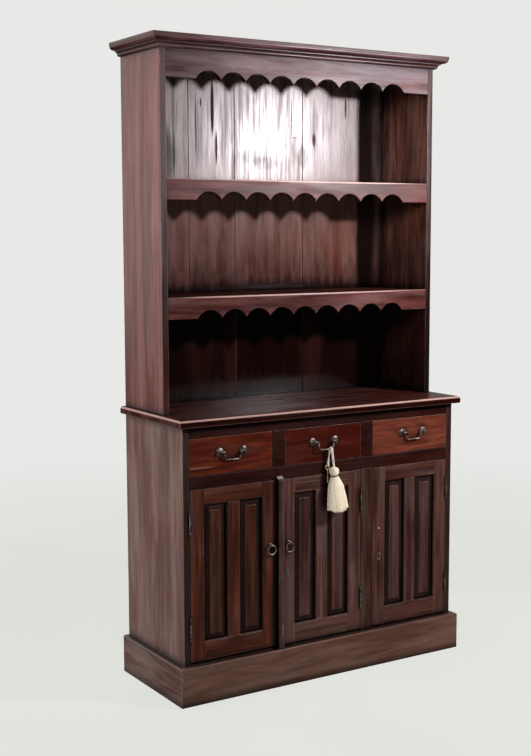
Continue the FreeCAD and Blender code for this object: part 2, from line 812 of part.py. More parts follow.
def bail(mid, lean):
    """The swan-necked bail: level ends in the posts, two legs and a straight bar, hanging at a lean."""
    half = bail_spacing / 2
    leg_top = half - bail_neck
    leg_foot = leg_top - bail_slant
    forward = bail_drop * math.sin(math.radians(lean))
    down = bail_drop * math.cos(math.radians(lean))
    ends = [(half + bail_seat, bail_y, bail_z), (leg_top, bail_y, bail_z), (leg_foot, bail_y - forward, bail_z - down)]
    points = [vec(mid - x, y, z) for x, y, z in ends]
    points += [vec(mid + x, y, z) for x, y, z in reversed(ends)]
    return tube(points, (bail_bend_r, bail_corner_r, bail_corner_r, bail_bend_r), bail_r)


# Key, cord loop and tassel

def loop_route():
    """The cord from the tassel, over the handle, through the bow of the key and back beside itself."""
    half = strand_spacing / 2
    over = bail_r + cord_play + cord_r
    bow = key_wire_r + cord_play + cord_r
    bow_top = key_bow_z + key_bow_r
    head_top = head_z + head_half_h - cord_in_head
    front_strand = bar_y - over
    back_strand = bar_y + over
    one_way = [vec(head_x - half, front_y - head_out, head_top),
               vec(loop_x - half, front_strand, bar_z + over),
               vec(loop_x - half, back_strand, bar_z + over)]
    turn = [vec(key_x, back_strand - bow, bow_top - bow), vec(key_x, back_strand + bow, bow_top - bow)]
    other_way = [vec(loop_x + half, back_strand, bar_z + over),
                 vec(loop_x + half, front_strand, bar_z + over),
                 vec(head_x + half, front_y - head_out, head_top)]
    return one_way + turn + other_way, over, bow


def tassel_loop():
    points, over, bow = loop_route()
    radii = []
    for a, b, c in zip(points, points[1:], points[2:]):
        turn = math.pi - (a - b).getAngle(c - b)
        shorter = min(a.distanceToPoint(b), b.distanceToPoint(c))
        radii.append(0.49 * shorter / math.tan(turn / 2))
    path = rounded_path(points, radii)
    solid = tube(points, radii, cord_r)
    print("cord loop: radii", [round(r, 1) for r in radii], "round the handle", over, "round the key", bow)
    print("cord loop: length", round(path.Length, 1), "volume over section times length",
          round(solid.Volume / (math.pi * cord_r ** 2 * path.Length), 4))
    samples = path.discretize(200)
    apart = [a.distanceToPoint(b) for i, a in enumerate(samples) for b in samples[i + 20:]]
    print("cord loop: least gap to itself", round(min(apart) - 2 * cord_r, 2))
    return solid


def cord_sockets():
    """Bores in the head along the first and the last run of the cord."""
    points, _, _ = loop_route()
    bores = []
    for end, next_one in ((points[0], points[1]), (points[-1], points[-2])):
        run = (next_one - end).normalize()
        bores.append(Part.makeCylinder(cord_r + socket_play, 3 * cord_in_head, end - run * socket_play, run))
    return bores


def tassel_head():
    """The knotted ball, with sockets for the ends of the cord, and the binding band under it."""
    def at(radius, up):
        return vec(head_x + radius, front_y - head_out, head_z + up)
    low = -head_half_h - band_h
    ball = polyline([at(0, -head_half_h), at(0, head_half_h), at(head_top_r, head_half_h)])
    ball.append(Part.Arc(at(head_top_r, head_half_h), at(head_r, 0), at(band_r, -head_half_h)).toShape())
    ball += polyline([at(band_r, -head_half_h), at(0, -head_half_h)])
    band = polyline([at(band_r, low), at(0, low), at(0, -head_half_h), at(band_r, -head_half_h)])
    band.append(Part.Arc(at(band_r, -head_half_h), at(band_r + band_swell, (low - head_half_h) / 2),
                         at(band_r, low)).toShape())
    axis = (at(0, 0), vec(0, 0, 1), 360)
    return [face_of(ball).revolve(*axis).cut(cord_sockets()), face_of(band).revolve(*axis)]


def lobed_section(height, right, out, half_w_x, half_d_y):
    """A closed ring of arcs, one for each bunch of threads."""
    step = 2 * math.pi / skirt_lobes

    def at(angle, share):
        return vec(handle_x + right + share * half_w_x * math.cos(angle),
                   front_y - out + share * half_d_y * math.sin(angle), height)
    arcs = []
    for i in range(skirt_lobes):
        a = i * step
        valley = 1 - skirt_lobe_depth
        arcs.append(Part.Arc(at(a, valley), at(a + step / 2, 1), at(a + step, valley)).toShape())
    return Part.Wire(arcs)


def tassel_skirt():
    top = head_z - head_half_h - band_h
    wires = [lobed_section(top - down, right, out, half_x, half_y)
             for down, right, out, half_x, half_y in skirt_sections]
    return Part.makeLoft(wires, True, True)


def key():
    """A cast key: a ring bow, a round shank and a plain bit."""
    y = bar_y + bail_r + cord_play + cord_r
    bow = Part.makeTorus(key_bow_r, key_wire_r, vec(key_x, y, key_bow_z), vec(0, 1, 0))
    shank_top = key_bow_z - key_bow_r
    foot = key_bow_z + key_bow_r + key_wire_r - key_length
    shank = Part.makeCylinder(key_shank_r, shank_top - foot, vec(key_x, y, foot))
    bit_z = foot + key_bit_up
    bit = box(key_x, key_x + key_bit_w, y - key_bit_t / 2, y + key_bit_t / 2, bit_z, bit_z + key_bit_h)
    return fused([bow, shank, bit])


os.makedirs("parts", exist_ok=True)

# Base
export("lower_side_left", [lower_side(-1)])
export("lower_side_right", [lower_side(1)])
export("bottom_board", [board(-inner_x, inner_x, front_y + bottom_board_in, inner_back_y,
                              bottom_board_top - rail_t, bottom_board_top)])
export("lower_back_boards", back_boards(0, base_height))
export("plinth_front", [front_run(plinth_profile, front_y, plinth_t)])
export("plinth_left", [side_run(plinth_profile, front_y, plinth_t, -1)])
export("plinth_right", [side_run(plinth_profile, front_y, plinth_t, 1)])
export("back_rails", [
    board(-inner_x, inner_x, inner_back_y - foot_rail_t, inner_back_y, 0, foot_rail_h),
    board(-inner_x, inner_x, inner_back_y - rail_t, inner_back_y,
          mid_rail_top - runner_h - back_rail_h, mid_rail_top - runner_h)])
export("top_rail", [board(-inner_x, inner_x, front_y, front_y + rail_t, base_height - top_rail_h, base_height)])
export("mid_rail", [board(-inner_x, inner_x, front_y, front_y + rail_t, mid_rail_bottom, mid_rail_top)])
export("drawer_muntins", [
    board(x0, x0 + post_w, front_y, front_y + rail_t, mid_rail_top, mid_rail_top + drawer_row_h)
    for x0 in (post_1_x0, post_2_x0)])
export("door_post", [door_post()])
export("partition", [partition()])
export("drawer_runners", drawer_runners())
export("cupboard_shelves", cupboard_shelves())
export("shelf_battens", shelf_battens())
export("worktop", [worktop()])
export("frame_hinges", frame_hinges())

# Rack
export("upper_side_left", [upper_side(-1)])
export("upper_side_right", [upper_side(1)])
export("top_board", [rack_shelf(rack_top_z)])
export("frieze", [scalloped(frieze_low_z, rack_top_z)])
export("upper_shelf", [rack_shelf(upper_shelf_z)])
export("upper_apron", [scalloped(upper_shelf_z - upper_apron_h, upper_shelf_z)])
export("lower_shelf", [rack_shelf(lower_shelf_z)])
export("lower_apron", [scalloped(lower_shelf_z - lower_apron_h, lower_shelf_z)])
export("upper_back_boards", back_boards(worktop_top, rack_top_z))
export("cornice_front", [front_run(cornice_profile, rack_front_y, cornice_out)])
export("cornice_left", [side_run(cornice_profile, rack_front_y, cornice_out, -1)])
export("cornice_right", [side_run(cornice_profile, rack_front_y, cornice_out, 1)])

# Drawers
for number, (bay_x0, bay_x1) in enumerate(drawer_bays(), 1):
    name = "drawer_" + str(number)
    middle = (bay_x0 + bay_x1) / 2 + (0, 0, handle_3_right)[number - 1]
    lean = (-bail_lies_back, bail_held_out, -bail_lies_back)[number - 1]
    export(name + "_front", [drawer_front(bay_x0, bay_x1)])
    export(name + "_box", drawer_box(bay_x0, bay_x1))
    export(name + "_posts", handle_posts(middle))
    export(name + "_bail", [bail(middle, lean)])

# Doors
spans = door_spans()
hinges = hinge_places()
door_cuts = (
    both_recesses(spans[0][0], 1) + [bolt_tool(spans[0][1] - bolt_mortise, spans[0][1] + 1)],
    both_recesses(spans[1][1], -1) + lock_tools(free_edge_2, keyhole_2_x),
    both_recesses(spans[2][1], -1) + lock_tools(free_edge_3, keyhole_3_x) + [pull_stub()],
)
door_metal = (
    [ring_stud(ring_1_x)],
    [ring_stud(ring_2_x), escutcheon(keyhole_2_x), lock_case(free_edge_2, keyhole_2_x)],
    [pull_stub(), escutcheon(keyhole_3_x), lock_case(free_edge_3, keyhole_3_x)],
)
for number, (span, cuts, metal, hinge) in enumerate(zip(spans, door_cuts, door_metal, hinges), 1):
    name = "door_" + str(number)
    export(name + "_frame", door_frame(span, cuts))
    export(name + "_panels", [raised_panel(*opening) for opening in panel_openings(span)])
    export(name + "_fittings", door_leaves(*hinge) + metal)
export("closing_strip", [closing_strip()])
export("door_1_ring", [ring(ring_1_x)])
export("door_2_ring", [ring(ring_2_x)])
export("door_2_bolt", [lock_bolt(free_edge_2, keyhole_2_x)])
export("door_3_bolt", [lock_bolt(free_edge_3, keyhole_3_x)])

# Key and tassel
export("tassel_loop", [tassel_loop()])
export("tassel_head", tassel_head())
export("tassel_skirt", [tassel_skirt()])
export("key", [key()])
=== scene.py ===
# %% [markdown]
# # A hutch with scalloped shelves
#
# The real thing is a tall piece of stained and polished hardwood: an open rack on a base with drawers and doors.
# The cabinet work comes from a CAD frame that is loaded here and never moved. This lesson gives every board its wood,
# every fitting its metal, and makes the cord and the tassel that hang, with the key, from the middle drawer.

# %% Load the frame
import math
import random

import bmesh
import bpy
from mathutils import Matrix, Vector


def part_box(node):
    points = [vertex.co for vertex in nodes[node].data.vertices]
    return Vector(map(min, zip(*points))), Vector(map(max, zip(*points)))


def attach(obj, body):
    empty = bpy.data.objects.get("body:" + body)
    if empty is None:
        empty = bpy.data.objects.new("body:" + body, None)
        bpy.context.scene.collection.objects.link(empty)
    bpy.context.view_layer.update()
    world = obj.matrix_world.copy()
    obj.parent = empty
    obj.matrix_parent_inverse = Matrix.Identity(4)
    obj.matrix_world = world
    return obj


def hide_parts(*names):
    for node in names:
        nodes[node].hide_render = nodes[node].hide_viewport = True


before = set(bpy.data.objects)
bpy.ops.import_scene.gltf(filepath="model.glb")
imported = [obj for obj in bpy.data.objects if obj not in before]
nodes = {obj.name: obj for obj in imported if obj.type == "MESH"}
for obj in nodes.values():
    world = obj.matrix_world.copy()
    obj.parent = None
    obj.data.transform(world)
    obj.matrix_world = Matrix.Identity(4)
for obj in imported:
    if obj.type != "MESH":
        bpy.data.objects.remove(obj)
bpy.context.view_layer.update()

mm = 0.001

# %% [markdown]
# ## Camera
#
# The photograph was taken standing, from the left, a little above the worktop and looking slightly down. The place
# and the lens were worked out from straight edges of the cabinet, so the camera is built from a place and three turns:
# towards the hutch, down, and a hair of roll.

# %% Camera
camera_data = bpy.data.cameras.new("camera")
camera_data.sensor_width = 36.0
camera_data.lens = 60.33
camera = bpy.data.objects.new("camera", camera_data)
bpy.context.scene.collection.objects.link(camera)
bpy.context.scene.camera = camera
turn = Matrix.Rotation(math.radians(-32.09), 4, "Z")
tilt = Matrix.Rotation(math.radians(90 - 6.57), 4, "X")
roll = Matrix.Rotation(math.radians(-0.16), 4, "Z")
camera.matrix_world = Matrix.Translation((-2.3236, -3.5198, 1.4562)) @ turn @ tilt @ roll
print("camera at", [round(v, 3) for v in camera.matrix_world.translation])

# %% [markdown]
# ## Cord
#
# A soft cotton cord is doubled: both ends go into the tassel's head, the loop passes over the handle's bar, and its
# far end holds the key by its bow. The route repeats the points of the cord's solid, with one more point close to
# each tight turn, because both long stretches are pulled straight by the weight they carry. A NURBS curve smooths it.

# %% Cord route
face_y = -182.75       # the faces of doors and drawers
bar_y = face_y - 17.1  # the middle of the handle's bar
head_y = face_y - 23   # the middle of the tassel's head
cord_mm = 3.6          # the thickness of the cord
route = [
    (14.1, head_y, 694.5), (6.8, bar_y - 4.9, 753.4), (5.6, bar_y - 4.7, 762.7), (5.6, bar_y + 4.7, 762.7),
    (4.4, bar_y + 4.1, 753.4), (-1.0, bar_y + 1.1, 709.7), (-2.0, bar_y + 0.5, 701.4),
    (-2.0, bar_y + 8.9, 701.4), (-0.3, bar_y + 8.3, 709.6), (8.5, bar_y + 5.3, 753.5),
    (10.4, bar_y + 4.7, 762.7), (10.4, bar_y - 4.7, 762.7), (11.6, bar_y - 4.9, 753.4), (18.9, head_y, 694.5)]
print("route of", len(route), "points")

# %% Smooth path


def smooth_path(points_mm, name):
    """The points of a smooth curve through a route, read from a NURBS spline that has no thickness."""
    data = bpy.data.curves.new(name, "CURVE")
    data.dimensions = "3D"
    spline = data.splines.new("NURBS")
    spline.points.add(len(points_mm) - 1)
    for point, place in zip(spline.points, points_mm):
        point.co = (*(v * mm for v in place), 1.0)
    spline.order_u = 3
    spline.use_endpoint_u = True
    spline.resolution_u = 16
    guide = bpy.data.objects.new(name, data)
    line = bpy.data.meshes.new_from_object(guide)
    points = [v.co.copy() for v in line.vertices]
    bpy.data.objects.remove(guide)
    bpy.data.meshes.remove(line)
    return points


cord_path = smooth_path(route, "cord_route")

# %% [markdown]
# A cord of this kind is three plies twisted together. Each ply is a thin round tube that winds round the route, so
# the lay catches the light as it does on the real one. The plies are curves with a bevel, turned into one mesh. The
# binding thread and the yarns of the tassel are made by the same helper.

# %% Pieces and tubes


def shown(name, data, body, slot, *replaced):
    """Links a finished mesh as a piece that rides on a body and takes the place of CAD nodes."""
    made = bpy.data.objects.new(name, data)
    bpy.context.scene.collection.objects.link(made)
    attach(made, body)
    if replaced:
        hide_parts(*replaced)
    return made


def tubes(paths, radius, name, sides=1, taper=None):
    """One mesh of thin round tubes, one along each path."""
    data = bpy.data.curves.new(name, "CURVE")
    data.dimensions = "3D"
    data.bevel_depth = radius
    data.bevel_resolution = sides
    data.use_fill_caps = True
    for path in paths:
        spline = data.splines.new("POLY")
        spline.points.add(len(path) - 1)
        for i, (point, place) in enumerate(zip(spline.points, path)):
            point.co = (*place, 1.0)
            if taper:
                point.radius = taper(i / (len(path) - 1))
    guide = bpy.data.objects.new(name, data)
    mesh = bpy.data.meshes.new_from_object(guide)
    bpy.data.objects.remove(guide)
    mesh.name = name
    for polygon in mesh.polygons:
        polygon.use_smooth = True
    return mesh


# %% Twisted plies


def plies(path, count, radius, lay):
    """Paths that wind round a path, lay metres to a turn."""
    side = Vector((0, 1, 0))
    wound = [[] for _ in range(count)]
    travelled = 0.0
    for i, place in enumerate(path):
        along = (path[min(i + 1, len(path) - 1)] - path[max(i - 1, 0)]).normalized()
        side = (side - along * side.dot(along)).normalized()
        other = along.cross(side)
        if i:
            travelled += (place - path[i - 1]).length
        for k, ply in enumerate(wound):
            angle = 2 * math.pi * (travelled / lay + k / count)
            ply.append(place + (side * math.cos(angle) + other * math.sin(angle)) * radius)
    return wound


lay_mm = 11      # the length of one full turn
pressed = 1.08   # plies are pressed into each other, so they are a little thicker than three circles that just touch
ply_r = cord_mm / 2 / (1 + 2 / math.sqrt(3)) * mm
wind_r = cord_mm / 2 * mm - ply_r
cord_mesh = tubes(plies(cord_path, 3, wind_r, lay_mm * mm), ply_r * pressed, "cord", sides=2)
cord = shown("cord", cord_mesh, "tassel", "cotton_cord", "tassel_loop")
print("cord mesh", len(cord_mesh.polygons), "faces")

# %% [markdown]
# ## Tassel
#
# The head is a ball of cord worked over a core. A few turns of brown thread bind it below, a little askew, and under
# them the loose yarns spread into a skirt. The ball starts as a spun outline whose points are then pushed in along
# slanting lines, like the strands that cross it.

# %% Spun form


def spun(name, outline_mm, centre, segments):
    """A closed form turned about the vertical line through centre. The outline is (radius, height) in millimetres."""
    bm = bmesh.new()
    verts = [bm.verts.new((r * mm, 0, z * mm)) for r, z in outline_mm]
    for a, b in zip(verts, verts[1:]):
        bm.edges.new((a, b))
    bmesh.ops.spin(bm, geom=list(bm.verts) + list(bm.edges), angle=2 * math.pi, steps=segments, axis=(0, 0, 1),
                   cent=(0, 0, 0), use_merge=True)
    bmesh.ops.remove_doubles(bm, verts=bm.verts, dist=0.01 * mm)
    bmesh.ops.recalc_face_normals(bm, faces=bm.faces)
    bmesh.ops.translate(bm, vec=centre, verts=bm.verts)
    mesh = bpy.data.meshes.new(name)
    for face in bm.faces:
        face.smooth = True
    bm.to_mesh(mesh)
    bm.free()
    return mesh


# %% Tassel head
head_centre = Vector((16.5, head_y, 686.5)) * mm
ball_r, ball_half, neck_r = 16.2, 12.2, 12.2   # half width, half height and neck in millimetres
outline_steps = 25
ball_outline = [(0.0, 12.0)]
for i in range(1, outline_steps):
    a = i * math.pi / outline_steps
    upper = a < math.pi / 2
    reach = ball_r * math.sin(a) ** 0.8 if upper else neck_r + (ball_r - neck_r) * math.sin(a)
    ball_outline.append((reach, ball_half * math.cos(a)))
ball_outline += [(12.4, -12.4), (12.0, -14.0), (12.0, -20.0), (0.0, -20.0)]
head_mesh = spun("tassel_head_work", ball_outline, head_centre, segments=96)
print("ball", len(head_mesh.polygons), "faces")

# %% Strands of the head
strands, slant, groove_mm = 8, 2.86, 1.6   # strands each way round, how far they lean, and how deep they part
for vert in head_mesh.vertices:
    spot = vert.co - head_centre
    radius = math.hypot(spot.x, spot.y)
    if radius < 1 * mm or spot.z < -12.3 * mm:
        continue
    around = strands / 2 * math.atan2(spot.y, spot.x)
    lift = slant * spot.z / (12 * mm)
    groove = min(abs(math.sin(around + lift)), abs(math.sin(around - lift)))
    depth = groove_mm * mm * (1 - groove) ** 2 * min(1.0, radius / (9 * mm))
    vert.co -= Vector((spot.x, spot.y, spot.z * 0.5)).normalized() * depth
head = shown("tassel_ball", head_mesh, "tassel", "cotton_cord", "tassel_head")
print(strands, "strands each way round")

# %% [markdown]
# The binding is a thread wound five times round the neck. Its path climbs from turn to turn and leans to one side.

# %% Tassel binding
turns, steps = 5, 40   # steps are for one turn
thread_r, wound_r = 0.62, 12.6
binding_path = []
for i in range(turns * steps + 1):
    angle = 2 * math.pi * i / steps
    x, y = wound_r * math.cos(angle), wound_r * math.sin(angle)
    binding_path.append(head_centre + Vector((x, y, -13.6 - 0.024 * i + 0.1 * x)) * mm)
binding_mesh = tubes([binding_path], thread_r * mm, "binding")
binding = shown("tassel_binding", binding_mesh, "tassel", "cotton_thread")
print("binding", len(binding_mesh.polygons), "faces")

# %% [markdown]
# The skirt is loose yarn about two millimetres thick, kinked from having been twisted. It hangs in bunches that sway
# together. The yarns lie on a plain core, which fills the gaps between them and gives the whole its outline: narrow
# under the binding, wide and a little flat at the ragged hem, and blown to the right as in the photograph.

# %% Outline of the skirt
skirt_top = 666.5
skirt_rings = [   # height below the band, middle x, middle y in front of the doors, half width, half depth
    (0.0, 19.0, 23.0, 13.0, 12.0), (6.0, 19.5, 23.3, 16.2, 14.2), (28.0, 22.0, 24.5, 27.5, 18.6),
    (68.0, 25.5, 26.0, 35.0, 20.6), (117.0, 30.0, 28.0, 41.5, 24.0)]


def skirt_point(down, angle, share):
    """A point of the skirt at a depth below the band, an angle round it and a share of its radius."""
    for low, high in zip(skirt_rings, skirt_rings[1:]):
        if down <= high[0] or high is skirt_rings[-1]:
            t = (down - low[0]) / (high[0] - low[0])
            mid_x, out, half_x, half_y = (a + (b - a) * t for a, b in zip(low[1:], high[1:]))
            return Vector((mid_x + share * half_x * math.cos(angle), face_y - out + share * half_y * math.sin(angle),
                           skirt_top - down)) * mm


print("skirt down to", skirt_top - skirt_rings[-1][0], "mm")

# %% Core of the skirt
core_sides, ridges = 72, 18
core = bmesh.new()
rings = []
for down in (0, 3, 8, 16, 28, 42, 56, 68, 84, 100):
    made = bmesh.ops.create_circle(core, segments=core_sides, radius=1.0, cap_ends=down in (0, 100))
    for i, vert in enumerate(made["verts"]):
        angle = 2 * math.pi * i / core_sides
        vert.co = skirt_point(down, angle, 0.9 - 0.04 * math.cos(ridges * angle + down / 30))
    rings.append([e for e in core.edges if all(v in made["verts"] for v in e.verts)])
for upper, lower in zip(rings, rings[1:]):
    bmesh.ops.bridge_loops(core, edges=upper + lower)
bmesh.ops.recalc_face_normals(core, faces=core.faces)
for face in core.faces:
    face.smooth = True
core_mesh = bpy.data.meshes.new("tassel_core")
core.to_mesh(core_mesh)
core.free()
skirt_core = shown("tassel_core", core_mesh, "tassel", "cotton_thread", "tassel_skirt")
print("core", len(core_mesh.polygons), "faces")

# %% [markdown]
# Each yarn leans with its bunch and has kinks of its own. The hem is ragged, and shorter at the two sides. The random
# draws are seeded, so every run gives the same skirt.

# %% Yarns of the skirt
chance = random.Random(7)
bunch_count, yarn_count, points = 18, 270, 26
skirt_mm, yarn_r = 117, 1.0   # the longest yarn, and half a yarn's thickness
bunches = [(chance.uniform(-0.07, 0.07), chance.uniform(0, 6.28), chance.uniform(0, 7)) for _ in range(bunch_count)]
yarns = []
for i in range(yarn_count):
    angle = 2 * math.pi * (i + chance.random()) / yarn_count
    lean, phase, short = bunches[int(angle / (2 * math.pi) * bunch_count) % bunch_count]
    depth = chance.uniform(0.9, 0.965)
    right, left = max(0.0, math.cos(angle)), max(0.0, -math.cos(angle))
    hem = skirt_mm - short - abs(chance.gauss(0, 2.0)) - 9 * right - 5 * left ** 3
    own = chance.uniform(0, 6.28)
    yarn = []
    for k in range(points):
        t = k / (points - 1)
        down = hem * t
        sway = lean * t + 0.05 * t * math.sin(7 * t + phase) + 0.035 * math.sin(down / 3.1 + own) * (0.3 + t)
        bulge = 0.02 * math.cos(ridges * angle) + 0.018 * math.sin(down / 2.7 + 2 * own)
        yarn.append(skirt_point(down, angle + sway, min(0.985, depth + bulge)))
    yarns.append(yarn)
yarn_mesh = tubes(yarns, yarn_r * mm, "tassel_yarns", taper=lambda t: 1.0 - 0.45 * max(0.0, t - 0.9) / 0.1)
skirt = shown("tassel_yarns", yarn_mesh, "tassel", "cotton_thread")
print("yarns", len(yarns), "with", len(yarn_mesh.polygons), "faces")

# %% [markdown]

# %% [markdown]
# ## Materials
#
# Every finish is built from the same few ideas, so small helpers come first: one turns a colour as it is written on
# the web into the linear numbers that a shader mixes, one adds any node with its settings and links, and one lays
# tones over a colour. Laying thin layers over each other is also how stain, polish and dirt build up on real wood.

# %% Colour and node helpers


def linear(code):
    """An sRGB hex colour as linear red, green, blue and alpha."""
    channels = [int(code[i:i + 2], 16) / 255 for i in (1, 3, 5)]
    return [c / 12.92 if c <= 0.04045 else ((c + 0.055) / 1.055) ** 2.4 for c in channels] + [1.0]


def add(tree, kind, inputs=(), **settings):
    """Adds a node, sets its properties, gives its sockets values or links, and returns its outputs."""
    made = tree.nodes.new("ShaderNode" + kind)
    for name, value in settings.items():
        setattr(made, name, value)
    for socket, value in inputs.items() if isinstance(inputs, dict) else enumerate(inputs):
        if isinstance(value, bpy.types.NodeSocket):
            tree.links.new(value, made.inputs[socket])
        else:
            made.inputs[socket].default_value = value
    return made.outputs


def layered(tree, colour, layers):
    """Lays tones over a colour, each growing to its share while its pattern goes from one value to another."""
    for pattern, start, end, share, tone in layers:
        cover = add(tree, "MapRange", (pattern, start, end, 0.0, share))[0]
        colour = add(tree, "Mix", {0: cover, 6: colour, 7: linear(tone)}, data_type="RGBA")[2]
    return colour


def blank(name):
    """A new material with its node tree and its shader."""
    material = bpy.data.materials.new(name)
    material.use_nodes = True
    return material, material.node_tree, material.node_tree.nodes["Principled BSDF"]


print("middle grey is", [round(channel, 3) for channel in linear("#808080")])

# %% [markdown]
# ## Stained hardwood
#
# The cabinet is a close-grained reddish hardwood, stained dark and polished by hand many years ago. Sawn boards show
# bands about 15 mm wide that run with the grain, and fine pores about a millimetre wide, drawn a little coarser here so
# that they show. A noise stretched along one axis gives both. A door's rails lie across its stiles, so a mask of
# boxes, one for each rail, swaps the axis there. Nothing but Object coordinates is read, so the grain stays in the
# wood when a door or a drawer moves.

# %% Grain


def rail_masks(tree, axes, boxes):
    """Two masks of a door's rails: where the grain lies across, and the joints at their ends."""
    across = joints = None
    for x0, x1, z0, z1 in boxes:
        in_height = add(tree, "Math", (axes[2], (z0 + z1) / 2, (z1 - z0) / 2), operation="COMPARE")[0]
        in_width = add(tree, "Math", (axes[0], (x0 + x1) / 2, (x1 - x0) / 2), operation="COMPARE")[0]
        inside = add(tree, "Math", (in_width, in_height), operation="MULTIPLY")[0]
        across = inside if across is None else add(tree, "Math", (across, inside), operation="MAXIMUM")[0]
        for end in (x0, x1):
            at_end = add(tree, "Math", (axes[0], end, 2 * mm), operation="COMPARE")[0]
            joint = add(tree, "Math", (at_end, in_height), operation="MULTIPLY")[0]
            joints = joint if joints is None else add(tree, "Math", (joints, joint), operation="MAXIMUM")[0]
    return across, joints


def grained(board, feature_mm, stretch, detail=5.0, distortion=0.3):
    """Noise in features of a real width, drawn out along the board's grain."""
    tree, place, along, across, shift = board
    spaces = []
    for axis in along if across is None else along + "X":
        scale = [1000 / feature_mm] * 3
        scale["XYZ".index(axis)] /= stretch
        spaces.append(add(tree, "Mapping", {"Vector": place, "Location": (shift, shift * 1.7, shift * 0.6),
                                            "Scale": scale})[0])
    space = spaces[0]
    if across is not None:
        space = add(tree, "Mix", {0: across, 4: spaces[0], 5: spaces[1]}, data_type="VECTOR")[1]
    return add(tree, "TexNoise", {"Vector": space, "Scale": 1.0, "Detail": detail, "Roughness": 0.6,
                                  "Distortion": distortion})[0]


# %% [markdown]
# Old wood has stains, knots and splits. Each is an ellipse on the front, whose outline is broken up by the same
# patches as the polish. A split or a scar also takes the gloss away, which shows more than its colour where a lamp
# mirrors in the board. The same ellipses also paint a few shadows, shade and highlights.

# %% Stains, scars and painted light


def off_centre(tree, place, x, z, half_x, half_z):
    """How far a point lies from the middle of an ellipse on the front, where 1 is its outline. Sizes in millimetres."""
    local = add(tree, "Mapping", {"Vector": place, "Location": (-x / half_x, 0, -z / half_z),
                                  "Scale": (1000 / half_x, 0, 1000 / half_z)})[0]
    return add(tree, "VectorMath", (local,), operation="LENGTH")["Value"]


def marked(tree, place, colour, patches, marks):
    """Lays marks over a colour, and returns it with how much duller each place has become."""
    duller = 0.0
    for x, z, half_x, half_z, tone, share, dull in marks:
        off = off_centre(tree, place, x, z, half_x, half_z)
        ragged = add(tree, "Math", (patches, 1.2, off), operation="MULTIPLY_ADD")[0]
        colour = layered(tree, colour, [(ragged, 1.75, 1.25, share, tone)])
        if dull:
            cover = add(tree, "MapRange", (ragged, 1.75, 1.25, 0.0, share))[0]
            duller = add(tree, "Math", (cover, dull, duller), operation="MULTIPLY_ADD")[0]
    return colour, duller


# %% [markdown]
# A board's back was never polished, so it keeps its sawn colour. Light and shade are painted by facing: on some boards
# the faces that look to the side or down are painted darker, as shade, and on others the front is painted darker than
# the sides, which are more lit. The normal tells the faces apart.
# It is the one in the piece's own space, so a door keeps its colours as it opens.

# %% Fronts, sides and backs


def faced(tree, colour, duller, bands, patches, reverse, turned):
    """Gives a board's back its sawn colours, and paints light and shade on its front and its other faces."""
    towards_back = add(tree, "SeparateXYZ", (add(tree, "TexCoord")["Normal"],))[1]
    # Painted light and shade: the faces that look ahead get one tone and the others another.
    if turned:
        front, other, *limits = turned
        start, end = limits or (-0.5, -0.8)
        tint = layered(tree, linear(other), [(towards_back, start, end, 1.0, front)])
        colour = add(tree, "Mix", {0: 1.0, 6: colour, 7: tint}, data_type="RGBA", blend_type="MULTIPLY")[2]
    if reverse:
        light, dark = reverse
        behind = add(tree, "MapRange", (towards_back, 0.4, 0.6))[0]
        sawn = layered(tree, linear(light), [(bands, 0.65, 0.35, 1.0, dark), (patches, 0.45, 0.68, 0.5, dark)])
        colour = add(tree, "Mix", {0: behind, 6: colour, 7: sawn}, data_type="RGBA")[2]
        duller = add(tree, "Math", (behind, 0.4, duller), operation="MULTIPLY_ADD")[0]
    return colour, duller


# %% [markdown]
# Polish wears through at the edges first. A rounded normal finds them: where it leaves the flat one, there is an edge.
# The worktop's moulded edge is a round surface, where that finds nothing, so there the faces that are neither level
# nor upright count as edge too, less so where they face down. On that edge the pale is worn polish and a painted
# highlight both. Where a rail meets a stile there is a joint and no edge.

# %% Worn edges


def worn_edges(tree, rounded, rounds):
    """How much of an edge each place is, from 0 to 1."""
    flat = add(tree, "NewGeometry")["Normal"]
    facing = add(tree, "VectorMath", (rounded, flat), operation="DOT_PRODUCT")["Value"]
    edge = add(tree, "MapRange", (facing, 0.995, 0.86))[0]
    if rounds:
        sizes = add(tree, "SeparateXYZ", (add(tree, "VectorMath", (flat,), operation="ABSOLUTE")[0],))
        most = add(tree, "Math", (sizes[0], sizes[1]), operation="MAXIMUM")[0]
        most = add(tree, "Math", (most, sizes[2]), operation="MAXIMUM")[0]
        edge = add(tree, "Math", (edge, add(tree, "MapRange", (most, 0.97, 0.8))[0]), operation="MAXIMUM")[0]
        height = add(tree, "SeparateXYZ", (flat,))[2]
        # Less pale where the round faces down, because the pale there is partly a painted highlight from above.
        handled = add(tree, "MapRange", (height, -0.3, 0.1, 0.2, 1.0))[0]
        edge = add(tree, "Math", (edge, handled), operation="MULTIPLY")[0]
    return edge


# %% [markdown]
# Hand polish is never even. It lies between two roughness values, duller where patches and streaks meet, duller
# again on worn edges and scars, and shinier below a height, if one is given, as low down in the rack.

# %% Polish


def polish(tree, patches, streaks, edge, rough, height, polished_below, duller):
    """The roughness of hand-polished wood at each place."""
    in_patches = add(tree, "MapRange", (patches, 0.38, 0.62))[0]
    in_streaks = add(tree, "MapRange", (streaks, 0.38, 0.62))[0]
    uneven = add(tree, "Math", (in_patches, in_streaks), operation="ADD")[0]
    dull = add(tree, "MapRange", (uneven, 0.3, 1.7, rough[0], rough[1]))[0]
    dull = add(tree, "Math", (edge, 0.12, dull), operation="MULTIPLY_ADD")[0]
    if polished_below:
        kept = add(tree, "MapRange", (height, (polished_below - 30) * mm, polished_below * mm, 0.4, 1.0))[0]
        dull = add(tree, "Math", (dull, kept), operation="MULTIPLY")[0]
    return add(tree, "Math", (dull, duller), operation="ADD", use_clamp=True)[0]


